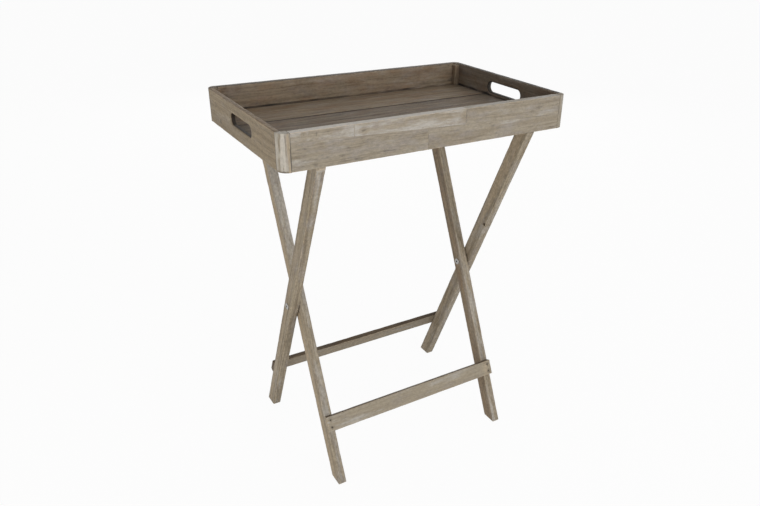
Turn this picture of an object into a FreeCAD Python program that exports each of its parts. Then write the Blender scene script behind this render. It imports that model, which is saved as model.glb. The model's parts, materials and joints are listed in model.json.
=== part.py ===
"""Butlers tray table: a lift-off tray on a folding X stand.

Millimetres, with +X along the tray, +Y to the back and +Z up. The origin is on the
floor under the middle of the table. Both stand frames are drawn upright about the
pivot axis, and their placement leans them over.
"""
import FreeCAD
import Part
import Sketcher
import math
import os

SIZES = {
    "tray_length": 600.0,
    "tray_depth": 380.0,
    "rim_height": 775.0,
    "wall_height": 65.0,
    "rail_thickness": 16.0,
    "end_thickness": 10.0,
    "post_round": 17.8,
    "post_flat": 0.8,
    "slot_length": 110.5,
    "slot_height": 22.4,
    "slot_drop": 29.8,
    "slot_offset": 4.8,
    "slot_ease": 2.5,
    "block_width": 12.0,
    "block_drop": 3.0,
    "floor_raise": 8.2,
    "floor_thickness": 9.0,
    "floor_fit": 0.3,
    "board_gap": 2.0,
    "cleat_width": 15.0,
    "cleat_lift": 0.2,
    "batten_width": 40.0,
    "batten_gap": 17.5,
    "edge_round": 1.2,
    "stand_inset": 66.0,
    "pivot_drop": 1.9,
    "leg_width": 31.5,
    "leg_thickness": 18.0,
    "leg_gap": 2.0,
    "leg_inset": 26.0,
    "leg_round": 1.8,
    "leg_top_chamfer": 6.0,
    "seat_gap": 0.2,
    "stretcher_height": 33.4,
    "stretcher_thickness": 10.7,
    "stretcher_lift": 110.5,
    "top_rail_width": 26.0,
    "top_rail_stop": 0.5,
    "nail_diameter": 2.6,
    "nail_length": 28.0,
    "nail_sink": 0.6,
    "nail_spacing": 15.4,
    "screw_diameter": 3.5,
    "screw_head_diameter": 7.0,
    "screw_head_height": 2.4,
    "screw_head_sink": 0.4,
    "floor_screw_cover": 3.0,
    "top_screw_bite": 24.0,
    "hole_fit": 0.05,
    "hole_spare": 0.5,
    "bolt_diameter": 6.0,
    "bolt_end_gap": 4.0,
    "sleeve_wall": 0.95,
    "sleeve_setback": 4.0,
    "head_diameter": 14.0,
    "head_height": 2.2,
    "head_round": 0.9,
    "socket_width": 4.0,
    "socket_depth": 1.3,
    "washer_diameter": 16.0,
    "running_fit": 0.05,
    "side_play": 0.1,
}

doc = FreeCAD.newDocument("butlers_tray_table")
sheet = doc.addObject("Spreadsheet::Sheet", "Sizes")
for row, (alias, number) in enumerate(SIZES.items(), start=1):
    sheet.set(f"A{row}", alias.replace("_", " "))
    sheet.set(f"B{row}", str(number))
    sheet.setAlias(f"B{row}", alias)
doc.recompute()

# Heights
WALL_BOTTOM = "(Sizes.rim_height - Sizes.wall_height)"
FLOOR_BOTTOM = f"({WALL_BOTTOM} + Sizes.floor_raise)"
FLOOR_TOP = f"({FLOOR_BOTTOM} + Sizes.floor_thickness)"
LEG_TOP = f"({WALL_BOTTOM} - Sizes.seat_gap)"
PIVOT = f"({LEG_TOP} / 2 - Sizes.pivot_drop)"
LEG_RISE = f"({LEG_TOP} - {PIVOT})"
CLEAT_THICKNESS = "(Sizes.floor_raise - Sizes.cleat_lift)"
CLEAT_BOTTOM = f"({WALL_BOTTOM} + Sizes.cleat_lift)"

# Half lengths and depths of the tray
HALF_LENGTH = "(Sizes.tray_length / 2)"
HALF_DEPTH = "(Sizes.tray_depth / 2)"
POST_WIDTH = "(Sizes.post_round + Sizes.post_flat)"
SEAM_X = f"({HALF_LENGTH} - {POST_WIDTH})"
SEAM_Y = f"({HALF_DEPTH} - {POST_WIDTH})"
INNER_X = f"({HALF_LENGTH} - Sizes.end_thickness)"
INNER_Y = f"({HALF_DEPTH} - Sizes.rail_thickness)"
FLOOR_X = f"({INNER_X} - Sizes.floor_fit)"
FLOOR_Y = f"({INNER_Y} - Sizes.floor_fit)"
FLOOR_BOARDS = 3
BOARD_WIDTH = f"((2 * {FLOOR_Y} - {FLOOR_BOARDS - 1} * Sizes.board_gap) / {FLOOR_BOARDS})"
BOARD_PITCH = f"({BOARD_WIDTH} + Sizes.board_gap)"
CLEAT_X = f"({INNER_X} - Sizes.cleat_width / 2)"

# The stand's lean follows from where the legs pivot and where they meet the tray
LEAN_TAN = f"(({HALF_DEPTH} - Sizes.leg_inset) / {LEG_RISE})"
LEAN = f"atan({LEAN_TAN})"
HALF_WIDTH = "(Sizes.leg_width / 2)"
OUTER_FACE = f"({HALF_LENGTH} - Sizes.stand_inset)"
INNER_FACE = f"({OUTER_FACE} - Sizes.leg_thickness - Sizes.leg_gap)"
RAIL_EDGE = f"({INNER_Y} - Sizes.top_rail_stop)"
TOP_SCREW_Y = f"({RAIL_EDGE} - Sizes.top_rail_width / 2)"
BATTEN_END = f"({RAIL_EDGE} - Sizes.top_rail_width - Sizes.batten_gap)"
STRETCHER_FACE = f"({HALF_WIDTH} + Sizes.stretcher_thickness)"
STRETCHER_FOOT = f"(Sizes.stretcher_lift - {PIVOT} / cos({LEAN}))"
NAIL_MIDDLE = f"({STRETCHER_FOOT} + Sizes.stretcher_height / 2)"
NAIL_DEPTH = "(Sizes.nail_sink + Sizes.nail_length + Sizes.hole_spare)"

# Fasteners and their holes
NAIL_HOLE = "(Sizes.nail_diameter + 2 * Sizes.hole_fit)"
SCREW_HOLE = "(Sizes.screw_diameter + 2 * Sizes.hole_fit)"
HEAD_HOLE = "(Sizes.screw_head_diameter + 2 * Sizes.hole_fit)"
HEAD_SEAT = "(Sizes.screw_head_sink + Sizes.screw_head_height)"
FLOOR_SCREW_BITE = "(Sizes.floor_thickness - Sizes.floor_screw_cover)"
SLEEVE_LENGTH = "(Sizes.leg_thickness - Sizes.sleeve_setback)"
BOLT_HOLE = "(Sizes.bolt_diameter + 2 * Sizes.running_fit)"
SLEEVE_DIAMETER = f"({BOLT_HOLE} + 2 * Sizes.sleeve_wall)"
SLEEVE_HOLE = f"({SLEEVE_DIAMETER} + 2 * Sizes.hole_fit)"
HEAD_FACE = f"({OUTER_FACE} + Sizes.side_play)"
NUT_FACE = f"({INNER_FACE} - Sizes.leg_thickness)"

AXIS_X = FreeCAD.Vector(1, 0, 0)
AXIS_Y = FreeCAD.Vector(0, 1, 0)
AXIS_Z = FreeCAD.Vector(0, 0, 1)
ORIGIN_POINT = (-1, 1)
START_POINT, END_POINT, CENTRE_POINT = range(1, 4)
HEXAGON = 6
HEXAGON_TURN = 360 / HEXAGON
NEAR = 0.01

pieces = []


def value(expression):
    """Number that an expression gives with the sheet's present sizes."""
    result = sheet.evalExpression(expression)
    return float(getattr(result, "Value", result))


def new_body(label, height, lean=0):
    """Body at a height; lean is 1 for a top that leans to the front, -1 to the back."""
    body = doc.addObject("PartDesign::Body", label)
    body.Label = label
    body.AllowCompound = True
    body.Placement = FreeCAD.Placement(FreeCAD.Vector(0, 0, value(height)), FreeCAD.Rotation(AXIS_X, lean))
    body.setExpression("Placement.Base.z", height)
    if lean:
        body.setExpression("Placement.Rotation.Angle", LEAN if lean > 0 else f"-{LEAN}")
        body.setExpression("Placement.Rotation.Axis.x", "1")
    pieces.append(body)
    return body


def new_sketch(body, role, start="0"):
    """Sketch on one of the body's own origin planes, moved along the plane's normal."""
    sketch = body.newObject("Sketcher::SketchObject", f"{body.Name}_sketch")
    plane = next(item for item in body.Origin.OriginFeatures if item.Role == role)
    sketch.AttachmentSupport = [(plane, "")]
    sketch.MapMode = "FlatFace"
    sketch.setExpression("AttachmentOffset.Base.z", start)
    return sketch


def bind(sketch, kind, where, expression):
    """Dimension of a sketch, held by an expression."""
    index = sketch.addConstraint(Sketcher.Constraint(kind, *where, value(expression)))
    sketch.setExpression(f"Constraints[{index}]", expression)


def fix_point(sketch, geometry, point, across, up):
    """Holds a point of a sketch at two coordinates."""
    bind(sketch, "DistanceX", (*ORIGIN_POINT, geometry, point), across)
    bind(sketch, "DistanceY", (*ORIGIN_POINT, geometry, point), up)


def outline(sketch, corners):
    """Closed outline of straight edges through the corners."""
    points = [FreeCAD.Vector(value(across), value(up), 0) for across, up in corners]
    count = len(points)
    for index in range(count):
        sketch.addGeometry(Part.LineSegment(points[index], points[(index + 1) % count]))
    for index in range(count):
        following = (index + 1) % count
        sketch.addConstraint(Sketcher.Constraint("Coincident", index, END_POINT, following, START_POINT))
    for index, (across, up) in enumerate(corners):
        fix_point(sketch, index, START_POINT, across, up)


def rectangle(sketch, low_across, high_across, low_up, high_up):
    """Upright rectangle between two pairs of coordinates."""
    outline(sketch, [(low_across, low_up), (high_across, low_up),
                     (high_across, high_up), (low_across, high_up)])


def circles(sketch, spots, diameter):
    """Equal circles about the given spots."""
    for across, up in spots:
        centre = FreeCAD.Vector(value(across), value(up), 0)
        geometry = sketch.addGeometry(Part.Circle(centre, AXIS_Z, value(diameter) / 2))
        fix_point(sketch, geometry, CENTRE_POINT, across, up)
        bind(sketch, "Diameter", (geometry,), diameter)


def stadium(sketch, middle_across, middle_up, length, height):
    """Slot with half-round ends."""
    radius = value(height) / 2
    reach = value(length) / 2 - radius
    middle = value(middle_across)
    level = value(middle_up)
    right = FreeCAD.Vector(middle + reach, level, 0)
    left = FreeCAD.Vector(middle - reach, level, 0)
    rise = FreeCAD.Vector(0, radius, 0)
    quarter = math.pi / 2
    sketch.addGeometry(Part.ArcOfCircle(Part.Circle(right, AXIS_Z, radius), -quarter, quarter))
    sketch.addGeometry(Part.LineSegment(right + rise, left + rise))
    sketch.addGeometry(Part.ArcOfCircle(Part.Circle(left, AXIS_Z, radius), quarter, 3 * quarter))
    sketch.addGeometry(Part.LineSegment(left - rise, right - rise))
    for index in range(4):
        sketch.addConstraint(Sketcher.Constraint("Tangent", index, END_POINT, (index + 1) % 4, START_POINT))
    sketch.addConstraint(Sketcher.Constraint("Equal", 0, 2))
    bind(sketch, "Radius", (0,), f"{height} / 2")
    fix_point(sketch, 0, CENTRE_POINT, f"{middle_across} + ({length} - {height}) / 2", middle_up)
    fix_point(sketch, 2, CENTRE_POINT, f"{middle_across} - ({length} - {height}) / 2", middle_up)


def pad(body, sketch, length, backwards=False):
    """Solid grown from a sketch along its normal, or against it."""
    feature = body.newObject("PartDesign::Pad", f"{body.Name}_pad")
    feature.Profile = sketch
    feature.setExpression("Length", length)
    feature.Reversed = backwards
    doc.recompute()
    return feature


def pocket(body, sketch, depth=None, backwards=False):
    """Cut from a sketch against its normal, or along it; with no depth it runs right through both ways."""
    before = body.Shape.Volume
    feature = body.newObject("PartDesign::Pocket", f"{body.Name}_pocket")
    feature.Profile = sketch
    if depth is None:
        feature.Type = "ThroughAll"
        feature.SideType = "Symmetric"
    else:
        feature.setExpression("Length", depth)
        feature.Reversed = backwards
    doc.recompute()
    if not body.Shape.Volume < before:
        raise RuntimeError(f"a pocket cuts nothing in {body.Label}")
    return feature


def ease(body, radius, wanted):
    """Rounds the edges of the body's last feature that the test wants."""
    base = body.Tip
    names = [f"Edge{index}" for index, edge in enumerate(base.Shape.Edges, start=1) if wanted(edge)]
    if not names:
        raise RuntimeError(f"no edge to round in {body.Label}")
    feature = body.newObject("PartDesign::Fillet", f"{body.Name}_round")
    feature.Base = (base, names)
    feature.setExpression("Radius", radius)
    doc.recompute()
    return feature


def along(axis):
    """Test for straight edges that run along an axis."""
    def wanted(edge):
        if not isinstance(edge.Curve, Part.Line):
            return False
        return edge.tangentAt(edge.FirstParameter).cross(axis).Length < NEAR
    return wanted


def box_board(label, height, across, depth, thickness, grain):
    """Plain board with its long edges eased; across and depth are pairs of X and Y coordinates."""
    body = new_body(label, height)
    sketch = new_sketch(body, "XY_Plane")
    rectangle(sketch, *across, *depth)
    pad(body, sketch, thickness)
    ease(body, "Sizes.edge_round", along(grain))
    return body


def mirrored(sign, low, high):
    """Two coordinates on the plus or the minus side, lowest first."""
    if sign > 0:
        return low, high
    return f"-{high}", f"-{low}"


def signed(sign, expression):
    """Coordinate on the plus or the minus side."""
    return expression if sign > 0 else f"-{expression}"


def make_rail(label, sign):
    """Long wall of the tray."""
    box_board(label, WALL_BOTTOM, (f"-{SEAM_X}", SEAM_X), mirrored(sign, INNER_Y, HALF_DEPTH),
              "Sizes.wall_height", AXIS_X)


def make_end_board(label, sign):
    """Short wall of the tray with its hand-hold slot, which sits a little towards the front."""
    body = box_board(label, WALL_BOTTOM, mirrored(sign, INNER_X, HALF_LENGTH), (f"-{SEAM_Y}", SEAM_Y),
                     "Sizes.wall_height", AXIS_Y)
    slot_middle = "(-Sizes.slot_offset)"
    slot_level = "(Sizes.wall_height - Sizes.slot_drop)"
    sketch = new_sketch(body, "YZ_Plane", signed(sign, f"({INNER_X} + Sizes.end_thickness / 2)"))
    stadium(sketch, slot_middle, slot_level, "Sizes.slot_length", "Sizes.slot_height")
    pocket(body, sketch)
    reach = value("Sizes.slot_length") / 2 + NEAR
    rise = value("Sizes.slot_height") / 2 + NEAR
    middle = value(slot_middle)
    level = value(slot_level)

    def slot_rim(edge):
        box = edge.BoundBox
        flat = box.XLength < NEAR
        across = max(middle - box.YMin, box.YMax - middle) < reach
        return flat and across and box.ZMin > level - rise and box.ZMax < level + rise
    ease(body, "Sizes.slot_ease", slot_rim)


def make_post(label, sign_x, sign_y):
    """Corner piece with a rounded outside, which the rail and the end board butt against."""
    body = new_body(label, WALL_BOTTOM)
    sketch = new_sketch(body, "XY_Plane")
    corners = [(HALF_LENGTH, HALF_DEPTH), (SEAM_X, HALF_DEPTH), (SEAM_X, INNER_Y), (INNER_X, INNER_Y),
               (INNER_X, SEAM_Y), (HALF_LENGTH, SEAM_Y)]
    outline(sketch, [(signed(sign_x, across), signed(sign_y, up)) for across, up in corners])
    pad(body, sketch, "Sizes.wall_height")
    half_length = value(HALF_LENGTH)
    half_depth = value(HALF_DEPTH)

    def on_skin(edge):
        middle = edge.BoundBox.Center
        return abs(abs(middle.x) - half_length) < NEAR, abs(abs(middle.y) - half_depth) < NEAR

    def outer_corner(edge):
        return along(AXIS_Z)(edge) and all(on_skin(edge))

    def outer_rim(edge):
        curved = not isinstance(edge.Curve, Part.Line)
        return edge.BoundBox.ZLength < NEAR and (curved or any(on_skin(edge)))
    ease(body, "Sizes.post_round", outer_corner)
    ease(body, "Sizes.edge_round", outer_rim)


def make_block(label, sign_x, sign_y):
    """Square glue block that stands on the floor in an inside corner."""
    box_board(label, FLOOR_TOP,
              mirrored(sign_x, f"({INNER_X} - Sizes.block_width)", INNER_X),
              mirrored(sign_y, f"({INNER_Y} - Sizes.block_width)", INNER_Y),
              "Sizes.wall_height - Sizes.floor_raise - Sizes.floor_thickness - Sizes.block_drop", AXIS_Z)


def floor_screw_spots(rows):
    """Places of the floor's screws on the given rows of X, one for each board."""
    columns = (f"-{BOARD_PITCH}", "0", BOARD_PITCH)
    return [(across, up) for across in rows for up in columns]


ALL_SCREW_ROWS = (f"-{CLEAT_X}", "0", CLEAT_X)


def make_floor_board(label, place):
    """Lengthwise floor board; place is -1 in front, 0 in the middle and 1 at the back."""
    middle = f"{place} * {BOARD_PITCH}"
    body = box_board(label, FLOOR_BOTTOM, (f"-{FLOOR_X}", FLOOR_X),
                     (f"{middle} - {BOARD_WIDTH} / 2", f"{middle} + {BOARD_WIDTH} / 2"),
                     "Sizes.floor_thickness", AXIS_X)
    sketch = new_sketch(body, "XY_Plane")
    circles(sketch, [(across, middle) for across in ALL_SCREW_ROWS], SCREW_HOLE)
    pocket(body, sketch, f"{FLOOR_SCREW_BITE} + Sizes.hole_spare", backwards=True)


def make_floor_strip(label, across, half_depth, row):
    """Cleat or batten under the floor, drilled for its screws."""
    body = box_board(label, CLEAT_BOTTOM, across, (f"-{half_depth}", half_depth),
                     CLEAT_THICKNESS, AXIS_Y)
    spots = floor_screw_spots((row,))
    sketch = new_sketch(body, "XY_Plane")
    circles(sketch, spots, SCREW_HOLE)
    pocket(body, sketch, CLEAT_THICKNESS, backwards=True)
    sketch = new_sketch(body, "XY_Plane")
    circles(sketch, spots, HEAD_HOLE)
    pocket(body, sketch, HEAD_SEAT, backwards=True)


def make_floor_screws():
    """Screws up through the cleats and the batten into the floor boards."""
    body = new_body("floor_screws", CLEAT_BOTTOM)
    spots = floor_screw_spots(ALL_SCREW_ROWS)
    sketch = new_sketch(body, "XY_Plane", HEAD_SEAT)
    circles(sketch, spots, "Sizes.screw_diameter")
    pad(body, sketch, f"{CLEAT_THICKNESS} - {HEAD_SEAT} + {FLOOR_SCREW_BITE}")
    sketch = new_sketch(body, "XY_Plane", "Sizes.screw_head_sink")
    circles(sketch, spots, "Sizes.screw_head_diameter")
    pad(body, sketch, "Sizes.screw_head_height")


def leg_centres(face):
    """X coordinates of the middles of the two legs whose outer faces are at the given distance."""
    middle = f"({face} - Sizes.leg_thickness / 2)"
    return f"-{middle}", middle


def nail_spots(centres):
    """Places of the stretcher's nails on the given legs."""
    return [(across, f"{NAIL_MIDDLE} {sign} Sizes.nail_spacing / 2") for across in centres for sign in "+-"]


def nail_sketch(body, lean, centres, diameter, sink="0"):
    """Circles for nails on the outer face of the stretcher."""
    sketch = new_sketch(body, "XZ_Plane", f"{-lean} * ({STRETCHER_FACE} - {sink})")
    circles(sketch, nail_spots(centres), diameter)
    return sketch


def make_leg(label, lean, sign, face, pivot_hole):
    """Leg with level cuts at its foot and top, drilled for the pivot, its nails and its top screw."""
    body = new_body(label, PIVOT, lean)
    low, high = mirrored(sign, f"({face} - Sizes.leg_thickness)", face)
    sketch = new_sketch(body, "YZ_Plane", low)
    under = f"{-lean} * {HALF_WIDTH}"
    over = f"{lean} * {HALF_WIDTH}"
    step = f"{HALF_WIDTH} * {LEAN_TAN}"
    top = f"{LEG_RISE} / cos({LEAN})"
    foot = f"-{PIVOT} / cos({LEAN})"
    outline(sketch, [
        (over, f"{foot} - {step}"),
        (over, f"{top} - {step}"),
        (f"{under} + {lean} * Sizes.leg_top_chamfer * cos({LEAN})",
         f"{top} + {step} - Sizes.leg_top_chamfer * sin({LEAN})"),
        (under, f"{top} + {step} - Sizes.leg_top_chamfer"),
        (under, f"{foot} + {step}"),
    ])
    pad(body, sketch, "Sizes.leg_thickness")
    ease(body, "Sizes.leg_round", along(AXIS_Z))

    sketch = new_sketch(body, "YZ_Plane", f"({low} + {high}) / 2")
    circles(sketch, [("0", "0")], pivot_hole)
    pocket(body, sketch)

    centre = leg_centres(face)[0 if sign < 0 else 1]
    sketch = nail_sketch(body, lean, (centre,), NAIL_HOLE)
    pocket(body, sketch, NAIL_DEPTH, backwards=lean > 0)

    sketch = new_sketch(body, "XY_Plane")
    turn = LEAN if lean < 0 else f"-{LEAN}"
    sketch.AttachmentOffset = FreeCAD.Placement(FreeCAD.Vector(0, 0, 0), FreeCAD.Rotation(AXIS_X, -lean))
    sketch.setExpression("AttachmentOffset.Rotation.Axis.x", "1")
    sketch.setExpression("AttachmentOffset.Rotation.Angle", turn)
    sketch.setExpression("AttachmentOffset.Base.y", f"{lean} * {LEG_RISE} * sin({LEAN})")
    sketch.setExpression("AttachmentOffset.Base.z", f"{LEG_RISE} * cos({LEAN})")
    circles(sketch, [(centre, signed(-lean, TOP_SCREW_Y))], SCREW_HOLE)
    pocket(body, sketch, "Sizes.top_screw_bite + Sizes.hole_spare")


def make_stretcher(label, lean, face):
    """Low cross piece nailed across the two legs of a frame."""
    body = new_body(label, PIVOT, lean)
    sketch = new_sketch(body, "YZ_Plane", f"-{face}")
    rectangle(sketch, *mirrored(lean, HALF_WIDTH, STRETCHER_FACE),
              STRETCHER_FOOT, f"{STRETCHER_FOOT} + Sizes.stretcher_height")
    pad(body, sketch, f"2 * {face}")
    ease(body, "Sizes.edge_round", along(AXIS_X))
    sketch = nail_sketch(body, lean, leg_centres(face), NAIL_HOLE)
    pocket(body, sketch, NAIL_DEPTH, backwards=lean > 0)


def make_nails(label, lean, face):
    """Headless nails, sunk a little below the stretcher's face."""
    body = new_body(label, PIVOT, lean)
    sketch = nail_sketch(body, lean, leg_centres(face), "Sizes.nail_diameter", "Sizes.nail_sink")
    pad(body, sketch, "Sizes.nail_length", backwards=lean < 0)


def make_top_rail(label, lean, face):
    """Flat rail across the tops of two legs, which stops against the inside of the tray's long wall."""
    depth = mirrored(-lean, f"({RAIL_EDGE} - Sizes.top_rail_width)", RAIL_EDGE)
    body = box_board(label, LEG_TOP, (f"-{face}", face), depth, "Sizes.floor_raise", AXIS_X)
    spots = [(across, signed(-lean, TOP_SCREW_Y)) for across in leg_centres(face)]
    sketch = new_sketch(body, "XY_Plane", "Sizes.floor_raise")
    circles(sketch, spots, SCREW_HOLE)
    pocket(body, sketch, "Sizes.floor_raise")
    sketch = new_sketch(body, "XY_Plane", "Sizes.floor_raise")
    circles(sketch, spots, HEAD_HOLE)
    pocket(body, sketch, HEAD_SEAT)


def make_top_screws(label, lean, face):
    """Screws down through a top rail into the legs."""
    body = new_body(label, LEG_TOP)
    spots = [(across, signed(-lean, TOP_SCREW_Y)) for across in leg_centres(face)]
    head_top = "Sizes.floor_raise - Sizes.screw_head_sink"
    sketch = new_sketch(body, "XY_Plane", "-Sizes.top_screw_bite")
    circles(sketch, spots, "Sizes.screw_diameter")
    pad(body, sketch, f"{head_top} - Sizes.screw_head_height + Sizes.top_screw_bite")
    sketch = new_sketch(body, "XY_Plane", head_top)
    circles(sketch, spots, "Sizes.screw_head_diameter")
    pad(body, sketch, "Sizes.screw_head_height", backwards=True)


def disc(body, start, diameter, length, backwards):
    """Round length of a pivot fastener along X."""
    sketch = new_sketch(body, "YZ_Plane", start)
    circles(sketch, [("0", "0")], diameter)
    return pad(body, sketch, length, backwards)


def head_with_socket(body, sign, seat):
    """Flat round head with a hexagon socket; sign is the way it faces along X."""
    disc(body, seat, "Sizes.head_diameter", "Sizes.head_height", sign < 0)
    crown = value(seat) + sign * value("Sizes.head_height")
    rim = value("Sizes.head_diameter") / 2

    def crown_rim(edge):
        box = edge.BoundBox
        return box.XLength < NEAR and abs(box.XMin - crown) < NEAR and abs(box.YMax - rim) < NEAR
    ease(body, "Sizes.head_round", crown_rim)
    sketch = new_sketch(body, "YZ_Plane", f"{seat} + {sign} * Sizes.head_height")
    turns = [HEXAGON_TURN * corner for corner in range(HEXAGON)]
    reach = f"Sizes.socket_width / 2 / cos({HEXAGON_TURN / 2})"
    outline(sketch, [(f"{reach} * cos({turn})", f"{reach} * sin({turn})") for turn in turns])
    pocket(body, sketch, "Sizes.socket_depth", backwards=sign < 0)


def make_bolt(label, sign):
    """Pivot bolt through the outer leg, the washer and into the sleeve nut."""
    body = new_body(label, PIVOT)
    seat = signed(sign, HEAD_FACE)
    head_with_socket(body, sign, seat)
    disc(body, seat, "Sizes.bolt_diameter", f"{HEAD_FACE} - {NUT_FACE} - Sizes.bolt_end_gap", sign > 0)


def make_nut(label, sign):
    """Sleeve nut in the inner leg, with its head on the leg's inner face."""
    body = new_body(label, PIVOT)
    seat = signed(sign, NUT_FACE)
    head_with_socket(body, -sign, seat)
    disc(body, seat, SLEEVE_DIAMETER, SLEEVE_LENGTH, sign < 0)
    sketch = new_sketch(body, "YZ_Plane", f"{seat} + {sign} * {SLEEVE_LENGTH}")
    circles(sketch, [("0", "0")], BOLT_HOLE)
    pocket(body, sketch, f"{SLEEVE_LENGTH} - Sizes.bolt_end_gap + Sizes.hole_spare", backwards=sign < 0)


def make_washer(label, sign):
    """Spacer between two crossing legs."""
    body = new_body(label, PIVOT)
    start = signed(sign, INNER_FACE)
    disc(body, start, "Sizes.washer_diameter", "Sizes.leg_gap - Sizes.side_play", sign < 0)
    sketch = new_sketch(body, "YZ_Plane", start)
    circles(sketch, [("0", "0")], BOLT_HOLE)
    pocket(body, sketch)


LEFT_RIGHT = (("left", -1), ("right", 1))
FRONT_BACK = (("front", -1), ("back", 1))

for name, sign in FRONT_BACK:
    make_rail(f"{name}_rail", sign)
for name, sign in LEFT_RIGHT:
    make_end_board(f"{name}_end_board", sign)
for depth_name, sign_y in FRONT_BACK:
    for side_name, sign_x in LEFT_RIGHT:
        make_post(f"{depth_name}_{side_name}_post", sign_x, sign_y)
        make_block(f"{depth_name}_{side_name}_block", sign_x, sign_y)
for name, place in (("front", -1), ("middle", 0), ("back", 1)):
    make_floor_board(f"floor_board_{name}", place)
for name, sign in LEFT_RIGHT:
    make_floor_strip(f"{name}_floor_cleat", mirrored(sign, f"({INNER_X} - Sizes.cleat_width)", INNER_X),
                     FLOOR_Y, signed(sign, CLEAT_X))
make_floor_strip("floor_batten", ("-Sizes.batten_width / 2", "Sizes.batten_width / 2"), BATTEN_END, "0")
make_floor_screws()

LEAN_BACK, LEAN_FORWARD = -1, 1
for name, sign in LEFT_RIGHT:
    make_leg(f"{name}_inner_leg", LEAN_BACK, sign, INNER_FACE, SLEEVE_HOLE)
    make_leg(f"{name}_outer_leg", LEAN_FORWARD, sign, OUTER_FACE, BOLT_HOLE)
    make_bolt(f"{name}_pivot_bolt", sign)
    make_nut(f"{name}_pivot_nut", sign)
    make_washer(f"{name}_pivot_washer", sign)
for stretcher, top_rail, lean, face in (("front_stretcher", "rear_top_rail", LEAN_BACK, INNER_FACE),
                                        ("rear_stretcher", "front_top_rail", LEAN_FORWARD, OUTER_FACE)):
    make_stretcher(stretcher, lean, face)
    make_nails(f"{stretcher}_nails", lean, face)
    make_top_rail(top_rail, lean, face)
    make_top_screws(f"{top_rail}_screws", lean, face)

doc.recompute()
for item in doc.Objects:
    if "Invalid" in item.State or "Error" in item.State:
        raise RuntimeError(f"{item.Label} failed: {item.State}")
for body in pieces:
    if body.Shape.isNull() or not body.Shape.isValid():
        raise RuntimeError(f"{body.Label} has no valid shape")

os.makedirs("parts", exist_ok=True)
for body in pieces:
    body.Shape.exportStep(f"parts/{body.Label}.step")
print(f"{len(pieces)} pieces, lean {value(LEAN):.2f} degrees")
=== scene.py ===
"""Looks of a weathered butlers tray table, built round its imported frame.

Metres, in the frame's own axes: +X along the tray, +Y to the back, +Z up. Every wooden
piece is shaped in its own axes, with x along the grain, y across its face and z through
its thickness, and is then put in its place. Its finish reads three attributes that are
written in those axes, so the grain follows each board.
"""

import json
import logging
import math
import random
from collections.abc import Callable, Iterable
from dataclasses import dataclass, field
from enum import Enum

import bmesh
import bpy
from mathutils import Matrix, Vector, noise


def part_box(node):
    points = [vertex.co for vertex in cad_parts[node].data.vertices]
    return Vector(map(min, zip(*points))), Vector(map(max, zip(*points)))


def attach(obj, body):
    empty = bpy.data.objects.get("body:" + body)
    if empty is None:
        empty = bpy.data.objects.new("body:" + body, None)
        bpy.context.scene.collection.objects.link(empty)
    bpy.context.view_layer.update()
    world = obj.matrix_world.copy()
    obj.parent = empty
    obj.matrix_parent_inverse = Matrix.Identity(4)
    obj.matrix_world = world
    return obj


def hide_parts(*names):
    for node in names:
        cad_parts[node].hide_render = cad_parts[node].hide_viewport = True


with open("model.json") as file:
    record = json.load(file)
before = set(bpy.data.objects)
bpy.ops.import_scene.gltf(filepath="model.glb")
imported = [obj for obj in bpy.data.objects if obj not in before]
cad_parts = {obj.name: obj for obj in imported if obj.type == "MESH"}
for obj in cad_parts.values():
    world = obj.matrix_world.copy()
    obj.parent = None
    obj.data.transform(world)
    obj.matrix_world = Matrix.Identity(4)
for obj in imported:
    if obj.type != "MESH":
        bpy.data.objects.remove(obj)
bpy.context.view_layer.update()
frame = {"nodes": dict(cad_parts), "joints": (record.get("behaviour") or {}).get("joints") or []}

MM = 0.001
AXIS_X = Vector((1.0, 0.0, 0.0))
AXIS_Y = Vector((0.0, 1.0, 0.0))
AXIS_Z = Vector((0.0, 0.0, 1.0))
GRAIN_SEED = 2471
GRAIN_STARTS = ((0.0, 40.0), (0.015, 0.07), (0.02, 0.08))
GRAIN_SLOPE = 0.014
TONE_SPREAD = 0.03
NOISE_SPREAD = 50.0
NOISE_MIDDLE = 0.5
OPEN = 0.0
INDOORS = 1.0
EVERYWHERE = 10.0
SKIN = 0.3 * MM
HAIR = 1e-6
SAME_WAY = 0.99
CORNER_ANGLE = math.radians(50.0)
SMOOTH_ANGLE = math.radians(38.0)
ARRIS_FACETS = 3
SMALL_FACETS = 2
HOLE_SIDES = 32
DRILL_SPARE = 1.0 * MM
SCREW_HEAD = 7.1 * MM
SCREW_SEAT = 2.8 * MM
HALVES = (-0.5, 0.5)

Rgb = tuple[float, float, float]
Socket = bpy.types.NodeSocket
Feed = Socket | float | tuple[float, ...]

log = logging.getLogger("tray_table")
draw = random.Random(GRAIN_SEED)


class Lean(Enum):
    """Way that the top of a stand frame leans."""

    BACK = -1
    FRONT = 1


class Side(Enum):
    """Left or right end of the table."""

    LEFT = -1
    RIGHT = 1

    @property
    def word(self) -> str:
        """Name of the side as the nodes write it."""
        return self.name.lower()


class Wear(Enum):
    """Edges of a piece that are rubbed down to bare wood."""

    EVERY = "every arris"
    LONG = "arrises along the grain"
    NONE = "none"


class Layer(Enum):
    """Attributes that a wooden piece carries for its finish."""

    GRAIN = "grain"
    MARGIN = "margin"
    BOARD = "board"


# Shader helper


@dataclass(frozen=True)
class Pattern:
    """Noise in waves per metre, with the two levels of the step that a finish makes of it.

    Some finishes work on the noise before the step, or raise both levels.
    """

    along: float
    across: float
    detail: float = 3.0
    roughness: float = 0.55
    low: float = 0.0
    high: float = 1.0


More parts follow.
